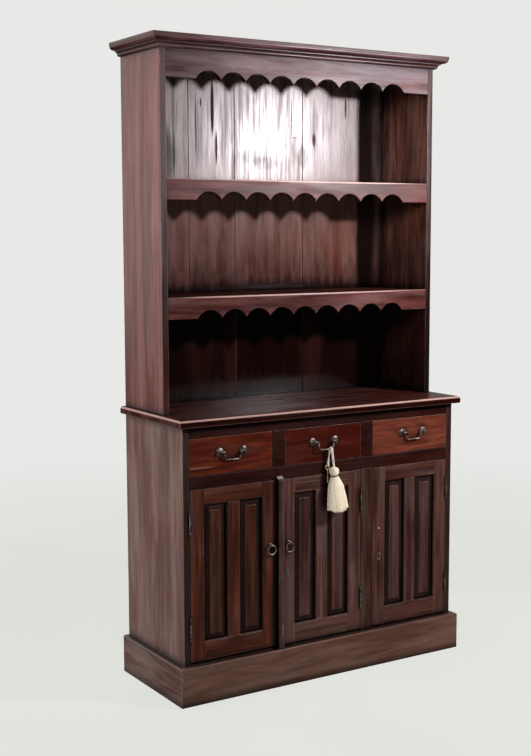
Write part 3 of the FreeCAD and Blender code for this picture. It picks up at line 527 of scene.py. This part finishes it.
# %% [markdown]
# The stain is darker in the wood's bands, pores and streaks. Over it lie grey patches of blind polish, and wide
# clouds that grow or fade with height: old bloom of the polish, and on some boards painted light and shade that
# change with height.

# %% Stain
pore_mm, streak_mm, bloom_mm, patch_mm = 1.6, 7.0, 28.0, 42.0


def patterned(board, band_mm, figure):
    """The patterns that the colour and the polish follow: bands, pores, streaks and patches."""
    return (grained(board, band_mm, figure[0], 4.0, figure[1]), grained(board, pore_mm, 30, 2.0, 0.0),
            grained(board, streak_mm, 30), grained(board, patch_mm, 7, 7.0, 0.4))


def stained(board, height, patterns, body, dark, grey, grey_share, blooms_and_painted_light):
    """The colour of a stained board, before marks and wear."""
    tree = board[0]
    bands, pores, streaks, patches = patterns
    colour = layered(tree, linear(body), [
        (bands, 0.65, 0.35, 1.0, dark), (pores, 0.5, 0.72, 0.5, dark), (streaks, 0.48, 0.7, 0.45, dark),
        (patches, 0.45, 0.68, grey_share, grey), (patches, 0.5, 0.33, 0.55, dark)])
    # Clouds by height: old bloom, and on some boards painted light and shade.
    for tone, share, cover, low_mm, high_mm, stretch, soft in blooms_and_painted_light:
        reach = add(tree, "MapRange", (height, low_mm * mm, high_mm * mm, -0.3, cover))[0]
        cloud = add(tree, "Math", (grained(board, bloom_mm, stretch), reach), operation="ADD")[0]
        colour = layered(tree, colour, [(cloud, 0.52 - soft, 0.52 + soft, share, tone)])
    return colour


# %% [markdown]
# Wear lies over the stain: pale edges where it is rubbed through, and a few nicks. The hollows get painted shade:
# what lies close to other wood, which the ambient occlusion node measures, is painted nearly black.

# %% Wear and painted shade
rub_scale, nick_scale = 90.0, 210.0   # to the metre, so rubbed spots are 11 mm wide and nicks 5 mm
# The second number is how far the painted shade in the hollows reaches.
edge_mm, painted_shade_reach_mm = 2.8, 28


def worn_through(board, colour, patches, edge, joints, worn, wear, nicks, rounds):
    """Lays rubbed edges, nicks and painted shade in the hollows over a colour."""
    tree, place, _, _, shift = board
    moved = add(tree, "Mapping", {"Vector": place, "Location": (shift * 2.3, shift, shift * 1.1)})[0]
    fine = add(tree, "TexNoise", {"Vector": moved, "Scale": rub_scale, "Detail": 3.0})[0]
    specks = add(tree, "TexNoise", {"Vector": moved, "Scale": nick_scale, "Detail": 1.0})[0]
    # On a rounded edge the pale lies almost unbroken: worn polish together with a painted highlight.
    rubbing = add(tree, "MapRange", (fine, 0.42, 0.62, 0.8 if rounds else 0.15, wear))[0]
    rubbed = add(tree, "Math", (edge, rubbing), operation="MULTIPLY")[0]
    if joints is not None:
        rubbed = add(tree, "Math", (rubbed, joints), operation="SUBTRACT", use_clamp=True)[0]
    deep = add(tree, "MapRange", (specks, 0.745, 0.77))[0]
    here = add(tree, "MapRange", (patches, 0.5, 0.6, 0.0, nicks))[0]
    nicked = add(tree, "Math", (deep, here), operation="MULTIPLY")[0]
    # Painted shade: where other wood lies close, the colour goes nearly black.
    hollow = add(tree, "AmbientOcclusion", {"Distance": painted_shade_reach_mm * mm}, samples=4)["AO"]
    return layered(tree, colour, [(rubbed, 0.0, 1.0, 1.0, worn), (nicked, 0.0, 1.0, 1.0, "#b9a48c"),
                                  (hollow, 0.94, 0.62, 0.97, "#040101")])


# %% [markdown]
# The whole finish, from the wood outwards. The pores are sunk by a twentieth of a millimetre, which only shows where
# a lamp mirrors in the board.

# %% Wood
pore_depth_mm = 0.05


def stained_wood(name, along, body, dark, grey, worn, band_mm=15.0, figure=(22, 0.6), shift=0.0, crossing=(),
                 grey_share=0.35, wear=0.6, nicks=0.3, rough=(0.34, 0.5), gloss=0.15, blooms_and_painted_light=(), marks=(),
                 reverse=None, turned=None, rounds=False, polished_below=None):
    """A material for boards whose grain runs along one axis. A shift moves the patterns, so no two boards agree."""
    material, tree, shader = blank(name)
    place = add(tree, "TexCoord")["Object"]
    axes = add(tree, "SeparateXYZ", (place,))
    across, joints = rail_masks(tree, axes, crossing)
    board = tree, place, along, across, shift
    patterns = patterned(board, band_mm, figure)
    bands, pores, streaks, patches = patterns

    colour = stained(board, axes[2], patterns, body, dark, grey, grey_share, blooms_and_painted_light)
    colour, duller = marked(tree, place, colour, patches, marks)
    colour, duller = faced(tree, colour, duller, bands, patches, reverse, turned)
    rounded = add(tree, "Bevel", {"Radius": edge_mm * mm}, samples=6)[0]
    edge = worn_edges(tree, rounded, rounds)
    colour = worn_through(board, colour, patches, edge, joints, worn, wear, nicks, rounds)
    tree.links.new(colour, shader.inputs["Base Color"])

    dull = polish(tree, patches, streaks, edge, rough, axes[2], polished_below, duller)
    tree.links.new(dull, shader.inputs["Roughness"])
    shader.inputs["Specular IOR Level"].default_value = gloss
    sunk = add(tree, "Math", (add(tree, "MapRange", (pores, 0.5, 0.75, 0.0, -0.4))[0], streaks), operation="ADD")[0]
    bump = add(tree, "Bump", {"Strength": 1.0, "Distance": pore_depth_mm * mm, "Height": sunk, "Normal": rounded})[0]
    tree.links.new(bump, shader.inputs["Normal"])
    return material


# %% [markdown]
# A CAD node keeps its mesh and only gets a material. Its slot is linked to the object, so the mesh isn't touched.

# %% Finish for a node


def finish(material, *names):
    """Gives CAD nodes a material."""
    for name in names:
        for slot in nodes[name].material_slots:
            slot.link = "OBJECT"
            slot.material = material
    print(material.name, "on", ", ".join(names))


# %% [markdown]
# The sides and posts are upright boards, the rails and shelves lie along the front, and the plinth and cornice run
# along what they cover. Each gets its own colours, matched to the photograph under its light.

# %% Wood of the sides
# Outside of the rack: paler and greyer than the front, with a soft gloss. Its front edge is painted darker than the
# lit side.
rack_sides = stained_wood("stained_mahogany_rack_sides", "Z", "#74403a", "#43201c", "#80605e", "#a9806a", band_mm=24,
                          rough=(0.3, 0.5), gloss=0.45, grey_share=0.4, shift=0.7, turned=("#8a6a60", "#ffffff"))
finish(rack_sides, "upper_side_left")
# Inside of the rack: still well polished, with wide light bands above. Painted shade grows down towards the worktop,
# and the front edge is painted darker.
inner_side = stained_wood("stained_mahogany_inner_side", "Z", "#5c3428", "#261009", "#6a4c46", "#8a6a5a", band_mm=30,
                          rough=(0.2, 0.4), gloss=0.3, grey_share=0.5, shift=1.9, figure=(9, 1.0),
                          turned=("#a08074", "#ffffff"), blooms_and_painted_light=[("#1c0a06", 0.85, 0.25, 1700, 1240, 4, 0.2)])
finish(inner_side, "upper_side_right")
# The base's sides: the same polish, duller and browner. Their front edges are painted darker and redder than the
# lit sides.
base_sides = stained_wood("stained_mahogany_base_sides", "Z", "#68473e", "#472d26", "#76635c", "#a9806a", band_mm=24,
                          rough=(0.38, 0.55), gloss=0.45, grey_share=0.5, turned=("#704038", "#ffffff"))
finish(base_sides, "lower_side_left", "lower_side_right", "partition")

# %% Wood of the base's front
# The post beside the doors: dark, with grey polish.
uprights = stained_wood("stained_mahogany_posts", "Z", "#4a2a22", "#24100c", "#564640", "#8a6a5a", shift=3.1,
                        grey_share=0.6)
finish(uprights, "door_post")
# The closing strip: greyer still, its edges rubbed pale, its side faces painted dark as shade, and its top end
# painted nearly white as a highlight.
strip_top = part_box("closing_strip")[1][2] / mm
strip_wood = stained_wood("stained_mahogany_strip", "Z", "#543832", "#2e1a16", "#5e4644", "#b09c98", shift=3.4,
                          grey_share=0.7, wear=0.9, turned=("#ffffff", "#807878"),
                          blooms_and_painted_light=[("#d8c4c2", 0.95, 0.4, strip_top - 9, strip_top - 7, 3, 0.2)])
finish(strip_wood, "closing_strip")
# Rails: the darkest and reddest stain, with brown edges.
rails = stained_wood("stained_mahogany_rails", "X", "#340c05", "#1a0503", "#30160f", "#84503e", shift=5.3)
finish(rails, "top_rail", "mid_rail", "drawer_muntins", "bottom_board")
# Plinth: thin stain, dry and greyish, with pale edges and many nicks. Its sides are redder and have more gloss.
plinth_wood = stained_wood("stained_mahogany_plinth", "X", "#6e4c3d", "#4a3026", "#735c52", "#b89a86", band_mm=30,
                           grey_share=0.6, wear=0.8, nicks=0.8, shift=7.9, figure=(12, 1.0))
finish(plinth_wood, "plinth_front")
plinth_side = stained_wood("stained_mahogany_plinth_sides", "Y", "#583028", "#34180f", "#6a5852", "#b89a86",
                           band_mm=30, grey_share=0.7, wear=0.8, nicks=0.8, shift=8.3, gloss=0.5)
finish(plinth_side, "plinth_left", "plinth_right")

# %% Wood of the worktop and shelves
# Worktop: dark and nearly without gloss, its moulded edge pale all round, rubbed and with a painted highlight. Its
# front faces are painted darker than the top.
top_wood = stained_wood("stained_mahogany_worktop", "X", "#48201a", "#260e0a", "#4c3a37", "#d0a89c", band_mm=28,
                        rough=(0.24, 0.42), wear=0.9, shift=1.4, gloss=0.06, turned=("#a88474", "#ffffff"), rounds=True)
finish(top_wood, "worktop")
# Shelves: matt, with no gloss at all.
shelf_wood = stained_wood("stained_mahogany_shelves", "X", "#4c2620", "#28120d", "#5a4641", "#9a7468", band_mm=28,
                          rough=(0.5, 0.7), shift=1.7, gloss=0.0)
finish(shelf_wood, "upper_shelf", "lower_shelf")
# Frieze and aprons: reddish, with a grey bloom high up, partly old polish and partly painted light. The dark left
# corner is painted shade, the pale upper edges of the aprons are painted highlights, and the faces that don't look
# ahead, such as the scallops' undersides, are painted dark as shade.
apron_painted_light_and_shade = [(-440, 1930, 190, 120, "#2a1210", 0.6, 0.0)]
# Painted highlight along each apron's upper edge.
for name in ("upper_apron", "lower_apron"):
    apron_painted_light_and_shade.append((0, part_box(name)[1][2] / mm, 520, 5, "#d0aca4", 0.8, 0.0))
apron_wood = stained_wood("stained_mahogany_aprons", "X", "#5c2c26", "#30120f", "#7a5454", "#9a7064", band_mm=22,
                          rough=(0.26, 0.5), shift=2.2, gloss=0.22, figure=(9, 0.4), wear=0.5, marks=apron_painted_light_and_shade,
                          turned=("#ffffff", "#303030"), blooms_and_painted_light=[("#8e828c", 0.45, 0.02, 1560, 1900, 6, 0.16)])
finish(apron_wood, "frieze", "upper_apron", "lower_apron")
# Cornice: wine red under a grey film, with worn arrises. From the side it is browner and mirrors more.
cornice_wood = stained_wood("stained_mahogany_cornice", "X", "#4c1c1e", "#280d0e", "#7a5a60", "#a58072", wear=0.8,
                            rough=(0.28, 0.45), shift=4.4, gloss=0.35)
finish(cornice_wood, "cornice_front")
cornice_side = stained_wood("stained_mahogany_cornice_sides", "Y", "#52241c", "#2c110d", "#6a5652", "#a58072",
                            wear=0.8, rough=(0.28, 0.42), shift=4.6, gloss=0.5)
finish(cornice_side, "cornice_left", "cornice_right")

# %% [markdown]
# The back of the rack has kept most of its polish, in streaks that follow the plane and the brush. A lamp that mirrors
# in it breaks up into patches. Dark marks follow a few joints and knots. Light and shade are painted on it too: a pale
# haze high up that is partly old bloom and partly painted sheen, a lighter middle, painted shade low down and under the
# lower apron, a painted shadow down the right side, and painted highlights along a few joints.

# %% Wood of the back
back_marks_and_painted_light = [   # middle x and z, half width and half height in millimetres, tone, share, how matt
    (-199, 1875, 6, 90, "#120605", 0.95, 0.6), (-184, 1735, 4, 50, "#241010", 0.8, 0.6),
    (-243, 1883, 3, 14, "#120605", 0.8, 0.6), (-262, 1800, 3, 120, "#241010", 0.8, 0.3),
    (116, 1845, 2, 66, "#160807", 0.9, 0.6), (139, 1780, 22, 1.6, "#160807", 0.9, 0.6),
    (345, 1890, 4, 40, "#180a09", 0.8, 0.6), (347, 1955, 4, 12, "#180a09", 0.8, 0.6),
    (210, 1776, 8, 26, "#2a1614", 0.8, 0.4), (-40, 1712, 60, 26, "#2a1614", 0.4, 0.12),
    (10, 1690, 60, 22, "#2a1614", 0.4, 0.12), (160, 1715, 26, 42, "#2a1614", 0.6, 0.14),
    (-385, 1700, 50, 110, "#1c0c0b", 0.8, 0.3), (-345, 1840, 5, 190, "#2a1614", 0.7, 0.3),
    # The pale line at x -296 is a painted highlight along a joint.
    (-114, 1840, 2.4, 200, "#6a3a24", 0.9, 0.0), (-296, 1370, 1.6, 100, "#8a7872", 0.3, 0.0),
    # The pale line at x 157 is a painted highlight along a joint; the tall dark mark at x 434 is a painted shadow.
    (157, 1240, 1.2, 200, "#a4948c", 0.4, 0.0), (434, 1600, 46, 900, "#140807", 0.92, 0.0),
    (20, 1365, 90, 80, "#43140a", 0.35, 0.0), (300, 1430, 70, 130, "#50200f", 0.4, 0.0),
    # Painted shade: the dark band under the lower apron, and the low bay below it.
    (0, 1235, 620, 60, "#160605", 0.8, 0.0), (0, 1030, 620, 230, "#120403", 0.9, 0.0),
    # The pale line at x -112.5 is a painted highlight along a joint.
    (-112.5, 1010, 0.7, 170, "#8c7468", 0.5, 0.0), (-134, 1060, 30, 150, "#3c2019", 0.35, 0.0),
    (-250, 1060, 60, 150, "#341a12", 0.3, 0.0), (200, 1060, 50, 150, "#3a1c15", 0.35, 0.0)]
back_blooms_and_painted_light = [   # tone, share, cover, from one height to another in millimetres, stretch, softness
    # Painted light in the middle bay, painted sheen and old bloom high up, painted shade growing down to the worktop.
    ("#8a6860", 0.85, 0.09, 1150, 1500, 12, 0.5), ("#7e7278", 0.8, 0.04, 1560, 1700, 4, 0.16),
    ("#140504", 0.9, 0.35, 1400, 1180, 3, 0.3), ("#2a1210", 0.7, 0.02, 1600, 1700, 16, 0.12)]
back_wood = stained_wood("polished_back_boards", "Z", "#4a1c15", "#260d09", "#4a3632", "#6b4a3c", band_mm=34,
                         rough=(0.22, 0.44), wear=0.2, nicks=0.0, shift=6.1, gloss=0.5, marks=back_marks_and_painted_light,
                         polished_below=1600, figure=(12, 0.2), reverse=("#7a5a48", "#543a2c"), blooms_and_painted_light=back_blooms_and_painted_light)
finish(back_wood, "upper_back_boards")

# %% Wood behind and inside
# Sawn boards behind the base: light brown, rough and matt.
plain_back = stained_wood("rough_sawn_back_boards", "Z", "#7a5a48", "#543a2c", "#6a5850", "#a08068", band_mm=34,
                          rough=(0.6, 0.75), wear=0.3, nicks=0.0, shift=6.7)
finish(plain_back, "lower_back_boards")
# Boards that were never stained: yellowish brown and matt.
bare = stained_wood("bare_inner_boards", "X", "#8a6544", "#6a4a30", "#7a6a58", "#a8886a", rough=(0.6, 0.75), wear=0.3)
finish(bare, "back_rails", "drawer_runners", "cupboard_shelves", "shelf_battens", "top_board")

# %% [markdown]
# A door is stiles and a muntin with upright grain, and two rails whose grain lies across. One box for each rail, cut
# off where the stiles begin, tells the wood where to turn. The raised panels are upright boards, greyer on their
# fields. Shade is painted on both: the frame's faces that don't look ahead and the panels' bevels are darker.

# %% Wood of the doors
door_back = "#5c3a2c", "#3a2119"
door_woods = [   # widths of the two stiles in millimetres, then body, dark and grey share of the frame and the panels
    (51, 51, ("#622e1a", "#2a1109", 0.35), ("#582a18", "#2a1108", 0.3)),
    (71.5, 51, ("#6c4a40", "#341c16", 0.5), ("#5a3831", "#2c1712", 0.5)),
    (55, 51, ("#60382e", "#2a130f", 0.5), ("#5e3f38", "#2e1914", 0.5))]
for number, (left, right, frame_tones, panel_tones) in enumerate(door_woods, 1):
    low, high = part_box("door_%d_frame" % number)
    x0, x1 = low[0] + left * mm, high[0] - right * mm
    rails_at = [(x0, x1, low[2] - mm, low[2] + 62 * mm), (x0, x1, high[2] - 51 * mm, high[2] + mm)]
    body, dark, grey = frame_tones
    # The frame's faces that don't look ahead are painted dark, as shade.
    wood = stained_wood("stained_mahogany_door_%d" % number, "Z", body, dark, "#5a4843", "#a8806c", band_mm=18,
                        shift=9.0 + number, crossing=rails_at, grey_share=grey, wear=0.95,
                        turned=("#ffffff", "#4c3c38"), reverse=door_back)
    finish(wood, "door_%d_frame" % number)
    body, dark, grey = panel_tones
    # The panels' bevels are painted darker than their fields, as shade.
    wood = stained_wood("stained_mahogany_panels_%d" % number, "Z", body, dark, "#544440", "#8a6a5c", band_mm=20,
                        grey_share=grey, shift=13.0 + 0.7 * number, wear=0.9,
                        turned=("#ffffff", "#a89c98", -0.99, -0.995), reverse=door_back)
    finish(wood, "door_%d_panels" % number)

# %% [markdown]
# The drawer fronts were polished again at some time: they are redder and their grain shows more.

# %% Wood of the drawers
left_stains = [(-470, 741, 52, 4, "#8a6a58", 0.4, 0.0), (-440, 733, 90, 3, "#240c06", 0.7, 0.0)]
drawer_woods = [("#68260e", "#401408", left_stains), ("#4e1409", "#300a05", ()), ("#7a3e2e", "#4a2014", ())]
for number, (body, dark, stains) in enumerate(drawer_woods, 1):
    wood = stained_wood("polished_mahogany_drawer_%d" % number, "X", body, dark, "#54362a", "#b08c76", band_mm=26,
                        rough=(0.3, 0.42), grey_share=0.3, shift=15.0 + number, wear=1.0, figure=(7, 1.4), marks=stains)
    finish(wood, "drawer_%d_front" % number)
    finish(bare, "drawer_%d_box" % number)

# %% [markdown]
# ## Metal
#
# Handles, rings and keyhole plates are cast brass that has gone nearly black, rubbed bright only where fingers reach
# them. The fixed hinge leaves and the bolts are iron, while a door's own leaves and lock share the finish of its plate.
# The key is bare brass. A metal's colour is its own reflection, so the two tones mix by patches and by wear at edges.

# %% Old metal


def old_metal(name, tarnish, bright, rough, worn_share, patch_mm=9.0, painted_spots=()):
    """A metal in two tones, bright where it is worn, less so behind, and darkened in its hollows."""
    material, tree, shader = blank(name)
    place = add(tree, "TexCoord")["Object"]
    patches = add(tree, "TexNoise", {"Vector": place, "Scale": 1000 / patch_mm, "Detail": 5.0})[0]
    rounded = add(tree, "Bevel", {"Radius": 1.0 * mm}, samples=6)[0]
    flat = add(tree, "NewGeometry")["Normal"]
    facing = add(tree, "VectorMath", (rounded, flat), operation="DOT_PRODUCT")["Value"]
    edge = add(tree, "MapRange", (facing, 0.99, 0.85))[0]
    thin = add(tree, "MapRange", (patches, 0.45, 0.65))[0]
    worn = add(tree, "Math", (edge, thin), operation="MAXIMUM")[0]
    inward = add(tree, "SeparateXYZ", (add(tree, "TexCoord")["Normal"],))[1]
    handled = add(tree, "MapRange", (inward, 0.3, 0.6, 1.0, 0.3))[0]
    worn = add(tree, "Math", (worn, handled), operation="MULTIPLY")[0]
    hollow = add(tree, "AmbientOcclusion", {"Distance": 6 * mm}, samples=4)["AO"]
    colour = layered(tree, linear(tarnish), [(worn, 0.0, 1.0, worn_share, bright), (hollow, 0.8, 0.3, 0.9, "#080605")])
    metallic = 1.0
    # Painted spots: a dark one for the shade inside a keyhole, a white one for a highlight; they are not metal.
    for x, z, half_x, half_z, tone in painted_spots:
        off = off_centre(tree, place, x, z, half_x, half_z)
        colour = layered(tree, colour, [(off, 1.05, 0.9, 1.0, tone)])
        inside = add(tree, "MapRange", (off, 1.05, 0.9))[0]
        metallic = add(tree, "Math", (metallic, inside), operation="SUBTRACT")[0]
    tree.links.new(colour, shader.inputs["Base Color"])
    if painted_spots:
        tree.links.new(metallic, shader.inputs["Metallic"])
    else:
        shader.inputs["Metallic"].default_value = metallic
    tree.links.new(add(tree, "MapRange", (patches, 0.3, 0.7, rough[0], rough[1]))[0], shader.inputs["Roughness"])
    bump = add(tree, "Bump", {"Strength": 0.25, "Distance": 0.1 * mm, "Height": patches})[0]
    tree.links.new(bump, shader.inputs["Normal"])
    return material


# %% [markdown]
# The keyholes are real openings, but so small that they hardly show, so the brass round them is painted dark as the
# shade inside a keyhole. Where the right door's ring broke off, the stub of its stem gets a painted highlight: a white
# spot that is not metal.

# %% Brass and iron
# Cast brass: nearly black, with grey highlights that break up where it is pitted.
aged_brass = old_metal("tarnished_cast_brass", "#4c4440", "#b0a298", (0.42, 0.6), 0.8)
finish(aged_brass, *("drawer_%d_%s" % (n, part) for n in (1, 2, 3) for part in ("posts", "bail")))
# Plates rubbed by keys: paler, blotched every four millimetres. Painted spots: middle x and z, half sizes in mm, tone.
plate_brass = old_metal("rubbed_brass_keyhole_plates", "#5c5048", "#e0ccb8", (0.4, 0.55), 0.95, patch_mm=4.0,
                        painted_spots=[(-141, 364, 3.6, 8.0, "#080504")])
finish(plate_brass, "door_1_fittings", "door_2_fittings")
# Its second painted spot is a white highlight on the ring's broken stub.
stub_brass = old_metal("rubbed_brass_plate_and_stub", "#5c5048", "#e0ccb8", (0.4, 0.55), 0.95, patch_mm=4.0,
                       painted_spots=[(214.5, 372, 3.6, 8.0, "#080504"), (214.5, 466, 5.0, 5.0, "#fff6ec")])
finish(stub_brass, "door_3_fittings")
# Rings: evenly rubbed, because they are handled all over.
ring_brass = old_metal("handled_brass_rings", "#6e6259", "#c4b4a4", (0.4, 0.55), 0.8)
finish(ring_brass, "door_1_ring", "door_2_ring")
# Wrought iron: brown with rust, duller than the brass.
iron = old_metal("rusty_iron_hinges", "#4a3a34", "#c0aa98", (0.45, 0.6), 0.7, patch_mm=5.0)
finish(iron, "frame_hinges", "door_2_bolt", "door_3_bolt")
# The key's brass is kept clean by use, so it alone is yellow.
key_brass = old_metal("bare_brass_key", "#d8b878", "#fff0c8", (0.3, 0.45), 0.8)
finish(key_brass, "key")

# %% [markdown]
# ## Cotton
#
# Unbleached cotton is a cream colour, matt, with a soft sheen at grazing angles from its loose fibres. The colour
# varies a little from thread to thread. Its fibres are far too fine to show, so they are drawn as streaks from half a
# millimetre wide on the cord to two on the ball, longer along the hang of the yarns.

# %% Cotton


def cotton(name, light, shade, streak_mm, stretch):
    """Matt thread in two close tones, with streaks of a width, stretched downwards."""
    material, tree, shader = blank(name)
    place = add(tree, "TexCoord")["Object"]
    across = 1000 / streak_mm
    space = add(tree, "Mapping", {"Vector": place, "Scale": (across, across, across / stretch)})[0]
    streaks = add(tree, "TexNoise", {"Vector": space, "Scale": 1.0, "Detail": 3.0})[0]
    tree.links.new(layered(tree, linear(shade), [(streaks, 0.35, 0.65, 1.0, light)]), shader.inputs["Base Color"])
    bump = add(tree, "Bump", {"Strength": 0.5, "Distance": 0.3 * mm, "Height": streaks})[0]
    tree.links.new(bump, shader.inputs["Normal"])
    shader.inputs["Roughness"].default_value = 0.9
    shader.inputs["Sheen Weight"].default_value = 0.6
    shader.inputs["Sheen Roughness"].default_value = 0.5
    return material


# %% Cotton of the cord and the tassel
# The cord is the whitest, the ball and the yarns are cream, and the thread that binds them is brown.
for piece, cloth in ((cord, cotton("twisted_cotton_cord", "#ffffff", "#fbf0d4", 0.6, 1)),
                     (head, cotton("worked_cotton_head", "#fffcf0", "#e8d0a0", 2.2, 1)),
                     (skirt, cotton("loose_cotton_yarn", "#fffcf0", "#f2dfb4", 1.6, 8)),
                     (skirt_core, cotton("inner_cotton_yarn", "#fff8e4", "#ecd6a6", 1.6, 8)),
                     (binding, cotton("brown_cotton_binding", "#7a5c48", "#4a3428", 0.8, 1))):
    piece.data.materials.append(cloth)
    print(cloth.name, "on", piece.name)

# %% [markdown]
# ## Floor
#
# A pale painted floor, half a millimetre under the plinth so that the two don't flicker. To the camera it shines
# mostly of itself, which keeps it pale with a faint shadow, and from 1.6 m on it turns into the white of the room. In
# a mirror it is dim, and dimmer far away, so the polish doesn't look grey. Other light meets plain paint.

# %% Floor
room_white = "#e8e9e7"
floor_bm = bmesh.new()
bmesh.ops.create_grid(floor_bm, x_segments=1, y_segments=1, size=14.0)
bmesh.ops.translate(floor_bm, vec=(0, 0, -0.5 * mm), verts=floor_bm.verts)
floor_mesh = bpy.data.meshes.new("floor")
floor_bm.to_mesh(floor_mesh)
floor_bm.free()
floor = bpy.data.objects.new("floor", floor_mesh)
bpy.context.scene.collection.objects.link(floor)
print("floor of", round(2 * floor_mesh.vertices[3].co.x), "m")

# %% Floor paint
# Matt oil paint, with faint clouds two thirds of a metre wide.
floor_paint, tree, shader = blank("pale_floor_paint")
place = add(tree, "TexCoord")["Object"]
clouds = add(tree, "TexNoise", {"Vector": place, "Scale": 1.5, "Detail": 4.0})[0]
paint = layered(tree, linear("#eceee8"), [(clouds, 0.3, 0.7, 1.0, "#f0f2ec")])
tree.links.new(paint, shader.inputs["Base Color"])
shader.inputs["Roughness"].default_value = 0.6
rays = add(tree, "LightPath")
spread = add(tree, "VectorMath", (place,), operation="LENGTH")["Value"]
mirrored = add(tree, "Math", (rays["Is Glossy Ray"], rays["Is Transmission Ray"]), operation="MAXIMUM")[0]
direct = add(tree, "Math", (rays["Is Camera Ray"], mirrored), operation="MAXIMUM")[0]
near = add(tree, "MapRange", (spread, 1.2, 4.0, 0.2, 0.01))[0]
glow_strength = add(tree, "Mix", {0: mirrored, 2: 0.9, 3: near})[0]
wall_strength = add(tree, "Mix", {0: mirrored, 2: 1.0, 3: near})[0]
glow = add(tree, "Emission", (paint, glow_strength))[0]
far_wall = add(tree, "Emission", (linear(room_white), wall_strength))[0]
own_glow = add(tree, "Math", (direct, 0.88), operation="MULTIPLY")[0]
lit = add(tree, "MixShader", (own_glow, shader.outputs[0], glow))[0]
far = add(tree, "MapRange", (spread, 1.6, 4.2))[0]
beyond = add(tree, "Math", (direct, far), operation="MULTIPLY")[0]
whole = add(tree, "MixShader", (beyond, lit, far_wall))[0]
tree.links.new(whole, tree.nodes["Material Output"].inputs["Surface"])
floor_mesh.materials.append(floor_paint)
print(floor_paint.name, "with", len(tree.nodes), "nodes")

# %% [markdown]
# ## Room
#
# The camera sees a plain near-white room. The light that it sheds is faint, and stronger from the left and from
# behind. In a mirror it has a bright left wall and a bright ceiling, and is dark in front, so polish and metal have
# something to show.

# %% White room
world = bpy.data.worlds.new("white_room")
world.use_nodes = True
tree = world.node_tree
back = tree.nodes["Background"]
rays = add(tree, "LightPath")
toward = add(tree, "SeparateXYZ", (add(tree, "TexCoord")["Generated"],))
side_light = add(tree, "Math", (toward[0], -0.75, 0.25), operation="MULTIPLY_ADD")[0]
depth_light = add(tree, "Math", (toward[1], 0.6, side_light), operation="MULTIPLY_ADD")[0]
left_wall = add(tree, "MapRange", (depth_light, -0.3, 0.9, 0.0, 1.3))[0]
ceiling = add(tree, "MapRange", (toward[2], 0.45, 0.8, 0.0, 1.0))[0]
front_glow = add(tree, "MapRange", (toward[2], 0.0, 0.14, 0.01, 0.12))[0]
room = add(tree, "Math", (left_wall, front_glow), operation="MAXIMUM")[0]
room = add(tree, "Math", (room, ceiling), operation="MAXIMUM")[0]
fill = add(tree, "MapRange", (depth_light, -0.6, 0.9, 0.05, 0.4))[0]
mirrored = add(tree, "Math", (rays["Is Glossy Ray"], rays["Is Transmission Ray"]), operation="MAXIMUM")[0]
seen = add(tree, "Mix", {0: mirrored, 2: fill, 3: room})[0]
strength = add(tree, "Mix", {0: rays["Is Camera Ray"], 2: seen, 3: 1.0})[0]
back.inputs["Color"].default_value = linear(room_white)
tree.links.new(strength, back.inputs["Strength"])
bpy.context.scene.world = world
print(world.name, "with", len(tree.nodes), "nodes")

# %% [markdown]
# ## Lamps
#
# A small strong lamp in front on the right throws the scallops' shadows on the back boards. A broad soft one on the
# left lights the sides, and a faint narrow one from the left lights the inside of the rack's right side. The view
# transform is Standard, so a colour comes out about as it is written.

# %% Lamps


def lamp(name, place, target, size, watts, colour="#ffffff", spread=180):
    """A round soft lamp at a place, turned to a target. A narrow spread keeps its light off what lies beside that."""
    data = bpy.data.lights.new(name, "AREA")
    data.shape = "DISK"
    data.size = size
    data.energy = watts
    data.color = linear(colour)[:3]
    data.spread = math.radians(spread)
    made = bpy.data.objects.new(name, data)
    bpy.context.scene.collection.objects.link(made)
    aim = (Vector(target) - Vector(place)).to_track_quat("-Z", "Y")
    made.matrix_world = Matrix.Translation(place) @ aim.to_matrix().to_4x4()
    print(name, watts, "W at", place)


lamp("key_lamp", (1.14, -1.554, 1.93), (0.0, -0.1, 1.2), 0.13, 52, "#fff8fb")
lamp("soft_left_lamp", (-3.2, 0.5, 1.2), (-0.5, 0.0, 1.0), 2.2, 74)
lamp("inner_lamp", (-2.3, -1.3, 2.1), (0.5, 0.08, 1.6), 0.6, 2.0, spread=24)
bpy.context.scene.view_settings.view_transform = "Standard"
